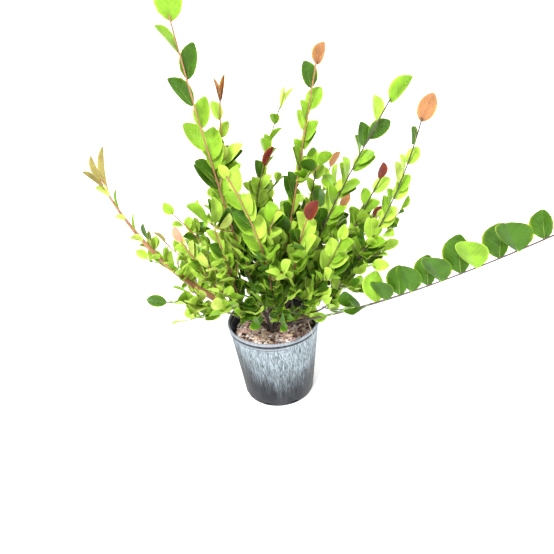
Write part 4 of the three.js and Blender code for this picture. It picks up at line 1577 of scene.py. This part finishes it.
def twig_run(twig):
    """A twig's line and radii in metres, starting inside what it leaves."""
    steps = LEADER_POINTS if twig.kind == "leader" else SHORT_TWIG_POINTS
    points = [twig.curve.at(share) * MM for share in even_shares(steps)]
    thinnest = TWIG_THINNEST[twig.kind]
    radii = [max(twig.radius(share) * twig.stout, thinnest) * MM for share in even_shares(steps)]
    if twig.kind == "leader":
        points[0] = points[0] - twig.curve.tangent(0) * LEADER_SUNK * MM
    return points, radii


# Thin bare dead twigs: start, bend and end, in millimetres
DEAD_TWIGS = (
    ((92, -60, 262), (96, -78, 252), (104, -96, 226)),
    ((-10, -70, 208), (-34, -84, 258), (-72, -92, 262)),
    ((-66, -40, 206), (-58, -62, 262), (-36, -74, 300)),
    ((-70, 56, 206), (-80, 72, 244), (-104, 76, 262)),
)
DEAD_TWIG_RADII = (0.75, 0.4)


class PLANT_OT_twigs(bpy.types.Operator):
    """Grows leaders, side twigs and finer twigs on from the limbs, and the bare dead twigs"""

    bl_idname = "coco_plum.twigs"
    bl_label = "Twigs"
    bl_options = {"REGISTER", "UNDO"}

    def execute(self, context):
        plant = settings().plant
        _, masses = grown_plant()
        kinds = {"rosy": plant.rosy, "brown": plant.brown, "green": plant.green}
        for bark, tone in kinds.items():
            runs, nodes = [], []
            for mass in masses:
                own = [twig for twig in mass.twigs if mass.bark == bark]
                if bark == "green":
                    own += mass.sprigs
                if own:
                    runs += [twig_run(twig) for twig in own]
                    nodes.append(mass.name)
            piece = tubes(f"twigs_{bark}", runs, 1)
            smooth(piece, 60)
            finish_piece(piece, "leaves", nodes, grained_finish(f"{bark} twig bark", tone, **TWIG_GRAIN))
        runs = []
        for points in DEAD_TWIGS:
            line = Bezier(*points).line(SHORT_TWIG_POINTS) * MM
            radii = [lerp(*DEAD_TWIG_RADII, share) * MM for share in even_shares(SHORT_TWIG_POINTS)]
            runs.append((line, radii))
        piece = tubes("dead_twigs", runs, 1)
        smooth(piece, 60)
        finish_piece(piece, "bark", [], grained_finish("dead twig", plant.dead, **TWIG_GRAIN))
        return {"FINISHED"}


# Leaves

# A blade's rows: place along it, width, and how far the outer corners of the row hang back
LEAF_ROWS = ((0.0, 0.08, 0.0), (0.07, 0.42, -0.01), (0.22, 0.8, -0.01), (0.42, 0.98, 0.0), (0.6, 1.0, 0.01),
             (0.78, 0.87, 0.03), (0.91, 0.6, 0.04), (0.99, 0.24, 0.02))
LEAF_COLUMNS = 4
# How each form is folded along its midrib, how far it droops, and how its tip turns back
LEAF_FORMS = ((0.3, 0.1, 0.0), (0.16, 0.13, 0.06), (0.44, 0.07, -0.03), (0.24, 0.08, 0.1))
LEAF_BELLY = 0.02
RIB_RADIUS = 0.013
RIB_REACH = (-0.07, 0.93)
RIB_TAPER = (1.25, 0.45)
RIB_DEPTH = 0.35
RIB_STEPS = 5
# How far out the fold meets the straight plane, and from where the tip turns back
FOLD_MIDDLE = 0.2
CURL_FROM = 0.6


def blade_height(form, across, along):
    """How high the blade is over its straight plane: folded up from the midrib, and drooping."""
    fold, droop, curl = form
    turned_back = curl * max(0, along - CURL_FROM) ** 2 * 4
    return fold * (abs(across) - FOLD_MIDDLE) - droop * along ** 2 - turned_back


def leaf_blade(index, form):
    """A closed thin blade: a grid drawn in row by row, folded, and backed by its own underside."""
    bpy.ops.object.select_all(action="DESELECT")
    rows = len(LEAF_ROWS) - 1
    bpy.ops.mesh.primitive_grid_add(x_subdivisions=LEAF_COLUMNS, y_subdivisions=rows, size=1,
                                    location=(0, 0.5, 0))
    blade = bpy.context.object
    blade.name = f"leaf_blade_{index}"
    settle(blade)
    bpy.ops.object.mode_set(mode="EDIT")
    bpy.ops.mesh.select_mode(type="VERT")
    for i in range(rows, -1, -1):
        along, width, _ = LEAF_ROWS[i]
        select_where(blade, lambda vertex: abs(vertex.co.y - i / rows) < 1e-4)
        bpy.ops.transform.resize(value=(width, 1, 1), center_override=(0, 0, 0))
        bpy.ops.transform.translate(value=(0, along - i / rows, 0))
    bpy.ops.object.mode_set(mode="OBJECT")
    for number, vertex in enumerate(blade.data.vertices):
        _, width, back = LEAF_ROWS[number // (LEAF_COLUMNS + 1)]
        vertex.co.y -= back * (vertex.co.x / width * 2) ** 2
        vertex.co.z = blade_height(form, vertex.co.x, vertex.co.y)
    bpy.ops.object.mode_set(mode="EDIT")
    bpy.ops.mesh.select_all(action="SELECT")
    bpy.ops.mesh.duplicate()
    bpy.ops.mesh.flip_normals()
    mesh = bmesh.from_edit_mesh(blade.data)
    for face in mesh.faces:
        if face.select:
            face.material_index = 1
    for vertex in mesh.verts:
        vertex.select = vertex.select and not vertex.is_boundary
    mesh.select_flush(False)
    bmesh.update_edit_mesh(blade.data)
    bpy.ops.transform.translate(value=(0, 0, -LEAF_BELLY))
    bpy.ops.mesh.select_all(action="SELECT")
    bpy.ops.mesh.remove_doubles(threshold=1e-5)
    bpy.ops.object.mode_set(mode="OBJECT")
    smooth(blade, 24)
    return blade


def leaf_rib(index, form):
    """The stalk and midrib of one form: a slender tapering rod that follows the blade's crease."""
    points, radii = [], []
    for share in even_shares(RIB_STEPS):
        along = lerp(*RIB_REACH, share)
        points.append((0, along, blade_height(form, 0, along) - LEAF_BELLY * RIB_DEPTH))
        radii.append(RIB_RADIUS * lerp(*RIB_TAPER, share))
    rib = tubes(f"leaf_rib_{index}", [(points, radii)], 0)
    smooth(rib, 60)
    return rib


def leaf_spot(leaf):
    """A leaf's place, turn and size, for a template that lies along Y and looks along Z."""
    across = cross(leaf.along, leaf.face)
    turn = Matrix((across, leaf.along, leaf.face)).transposed().to_euler()
    size = leaf.size * MM
    return leaf.root * MM, tuple(turn), (size * leaf.width, size, size)


# Tint, colour of the upper side, roughness of the upper side and paleness of the underside
LEAF_TINTS = {
    "deep": ((0.038, 0.1, 0.006), 0.4, 1.35),
    "green": ((0.165, 0.305, 0.02), 0.42, 1.3),
    "lime": ((0.285, 0.435, 0.048), 0.45, 1.2),
    "yellow": ((0.35, 0.43, 0.08), 0.48, 1.15),
    "bronze": ((0.24, 0.2, 0.06), 0.42, 1.3),
    "orange": ((0.31, 0.145, 0.06), 0.45, 1.2),
    "red": ((0.12, 0.021, 0.013), 0.4, 1.4),
    "pink": ((0.5, 0.25, 0.17), 0.48, 1.1),
}
YOUNG_TINTS = ("bronze", "orange", "red", "pink")
# How much duller the underside is, and the side veins: how many there are along the blade, and how
# far they lean towards the tip
UNDERSIDE_DULLER = 0.18
VEINS = 62.0
VEIN_LEAN = 0.55


def leaf_finish(tint, under):
    """Glossy above, paler and duller below, with side veins that follow the blade."""
    tone, roughness, paleness = LEAF_TINTS[tint]
    if under:
        tone, roughness = shade(tone, paleness), roughness + UNDERSIDE_DULLER
    leaf = Finish(f"{tint} leaf {'underside' if under else 'top'}", roughness)
    leaf.set("Specular IOR Level", 0.14)
    leaf.set("Subsurface Weight", 0.5)
    leaf.set("Subsurface Radius", (1.0, 1.0, 0.4))
    leaf.set("Subsurface Scale", 0.0018)
    u, v, _ = leaf.axes(leaf.node("ShaderNodeTexCoord", output="UV"))
    side = abs(u - 0.5)
    veins = leaf.math("SINE", (v - side * VEIN_LEAN) * VEINS) * 0.5 + 0.5
    broad = leaf.noise((28,) * 3, 2.0)
    fine = leaf.noise((420,) * 3)
    body = leaf.mottled(broad.between(0.3, 0.7), tone, 0.78, 1.22)
    veined = leaf.mix(veins.between(0.75, 1.0) * 0.16, body, shade(tone, 1.9))
    # The pale band along the margin is painted light: the glow of the thin, lit edge of the leaf.
    leaf.set("Base Color", leaf.mix(side.between(0.44, 0.5) * 0.45, veined, shade(tone, 2.0)))
    leaf.bump(veins * 0.5 + fine * 0.35, 0.00025)
    return leaf.material


class PLANT_OT_leaves(bpy.types.Operator):
    """Sets every leaf on its twig, each tint as one piece, and the midribs and stalks as another"""

    bl_idname = "coco_plum.leaves"
    bl_label = "Leaves"
    bl_options = {"REGISTER", "UNDO"}

    def execute(self, context):
        plant = settings().plant
        _, masses = grown_plant()
        blades = [leaf_blade(*numbered) for numbered in enumerate(LEAF_FORMS)]
        ribs = [leaf_rib(*numbered) for numbered in enumerate(LEAF_FORMS)]
        for tint in LEAF_TINTS:
            nodes = [mass.name for mass in masses if any(leaf.tint == tint for leaf in mass.leaves)]
            leaves = [leaf for mass in masses for leaf in mass.leaves if leaf.tint == tint]
            piece = self.scattered(f"leaves_{tint}", blades, leaves)
            finish_piece(piece, "leaves", nodes, leaf_finish(tint, False), leaf_finish(tint, True))
        for name, young, tone in (("pale", False, plant.rib), ("young", True, plant.young_rib)):
            leaves = [leaf for mass in masses for leaf in mass.leaves if (leaf.tint in YOUNG_TINTS) == young]
            piece = self.scattered(f"midribs_{name}", ribs, leaves)
            finish_piece(piece, "leaves", [mass.name for mass in masses],
                         grained_finish(f"midribs {name}", tone, **TWIG_GRAIN))
        for form in blades + ribs:
            bpy.data.objects.remove(form)
        return {"FINISHED"}

    def scattered(self, name, forms, leaves):
        parts = []
        for index, form in enumerate(forms):
            spots = [leaf_spot(leaf) for leaf in leaves if leaf.form == index]
            if spots:
                parts.append(scatter(f"{name}_{index}", form, spots))
        return join(name, parts)


# Stage

KEY_PLACE = (-0.9, -2.0, 3.1)
KEY_SPREAD = math.radians(10)
FILL_PLACE = (2.6, -1.8, 1.6)
FILL_SIZE = 2.4
AIM = (0.0, 0.0, 0.45)
SENSOR_WIDTH = 36


def aimed(place, target):
    """A turn that looks from a place to a target."""
    return (Vector(target) - Vector(place)).to_track_quat("-Z", "Y").to_euler()


def add_light(kind, name, place, power):
    bpy.ops.object.light_add(type=kind, location=place, rotation=aimed(place, AIM))
    light = bpy.context.object
    light.name = name
    light.data.energy = power
    return light.data


def camera_turn(pitch, roll):
    """The camera looks along +Y and down, and leans about its own axis."""
    return (Euler((math.pi / 2 - pitch, 0, 0)).to_matrix() @ Matrix.Rotation(roll, 3, "Z")).to_euler()


class PLANT_OT_stage(bpy.types.Operator):
    """Sets the pale floor, the soft lights and the camera"""

    bl_idname = "coco_plum.stage"
    bl_label = "Stage"
    bl_options = {"REGISTER", "UNDO"}

    def execute(self, context):
        stage = settings().stage
        scene = context.scene
        bpy.ops.object.select_all(action="DESELECT")
        bpy.ops.mesh.primitive_plane_add(size=stage.floor_size)
        floor = context.object
        floor.name = "floor"
        matt = Finish("plain pale floor", 0.95)
        matt.set("Base Color", colour(stage.floor))
        floor.data.materials.append(matt.material)
        world = bpy.data.worlds.new("pale studio")
        scene.world = world
        world.use_nodes = True
        background = world.node_tree.nodes["Background"]
        background.inputs["Color"].default_value = (1, 1, 1, 1)
        background.inputs["Strength"].default_value = stage.sky
        add_light("SUN", "key_light", KEY_PLACE, stage.key).angle = KEY_SPREAD
        add_light("AREA", "fill_light", FILL_PLACE, stage.fill).size = FILL_SIZE
        bpy.ops.object.camera_add(location=stage.camera, rotation=camera_turn(stage.pitch, stage.roll))
        camera = context.object
        camera.name = "camera"
        camera.data.lens = stage.lens
        camera.data.sensor_width = SENSOR_WIDTH
        scene.camera = camera
        scene.view_settings.view_transform = "Standard"
        return {"FINISHED"}


class PLANT_PT_panel(bpy.types.Panel):
    """The pieces of the potted plant, in the order in which they are made"""

    bl_idname = "PLANT_PT_panel"
    bl_label = "Potted Coco Plum"
    bl_space_type = "VIEW_3D"
    bl_region_type = "UI"
    bl_category = "Coco Plum"

    def draw(self, context):
        for operator in OPERATORS:
            self.layout.operator(operator.bl_idname)
        for part in CocoPlumSettings.__annotations__:
            group = getattr(settings(), part)
            box = self.layout.box()
            for name in group.__annotations__:
                box.prop(group, name)


OPERATORS = (PLANT_OT_stage, PLANT_OT_pot, PLANT_OT_mulch, PLANT_OT_limbs, PLANT_OT_twigs, PLANT_OT_leaves)
CLASSES = (PotSettings, MulchSettings, PlantSettings, StageSettings, CocoPlumSettings, *OPERATORS,
           PLANT_PT_panel)


def register():
    for cls in CLASSES:
        bpy.utils.register_class(cls)
    bpy.types.Scene.coco_plum = bpy.props.PointerProperty(type=CocoPlumSettings)


def unregister():
    del bpy.types.Scene.coco_plum
    for cls in reversed(CLASSES):
        bpy.utils.unregister_class(cls)


def main():
    register()
    bpy.ops.coco_plum.stage()
    bpy.ops.coco_plum.pot()
    bpy.ops.coco_plum.mulch()
    bpy.ops.coco_plum.limbs()
    bpy.ops.coco_plum.twigs()
    bpy.ops.coco_plum.leaves()


if __name__ == "__main__":
    main()
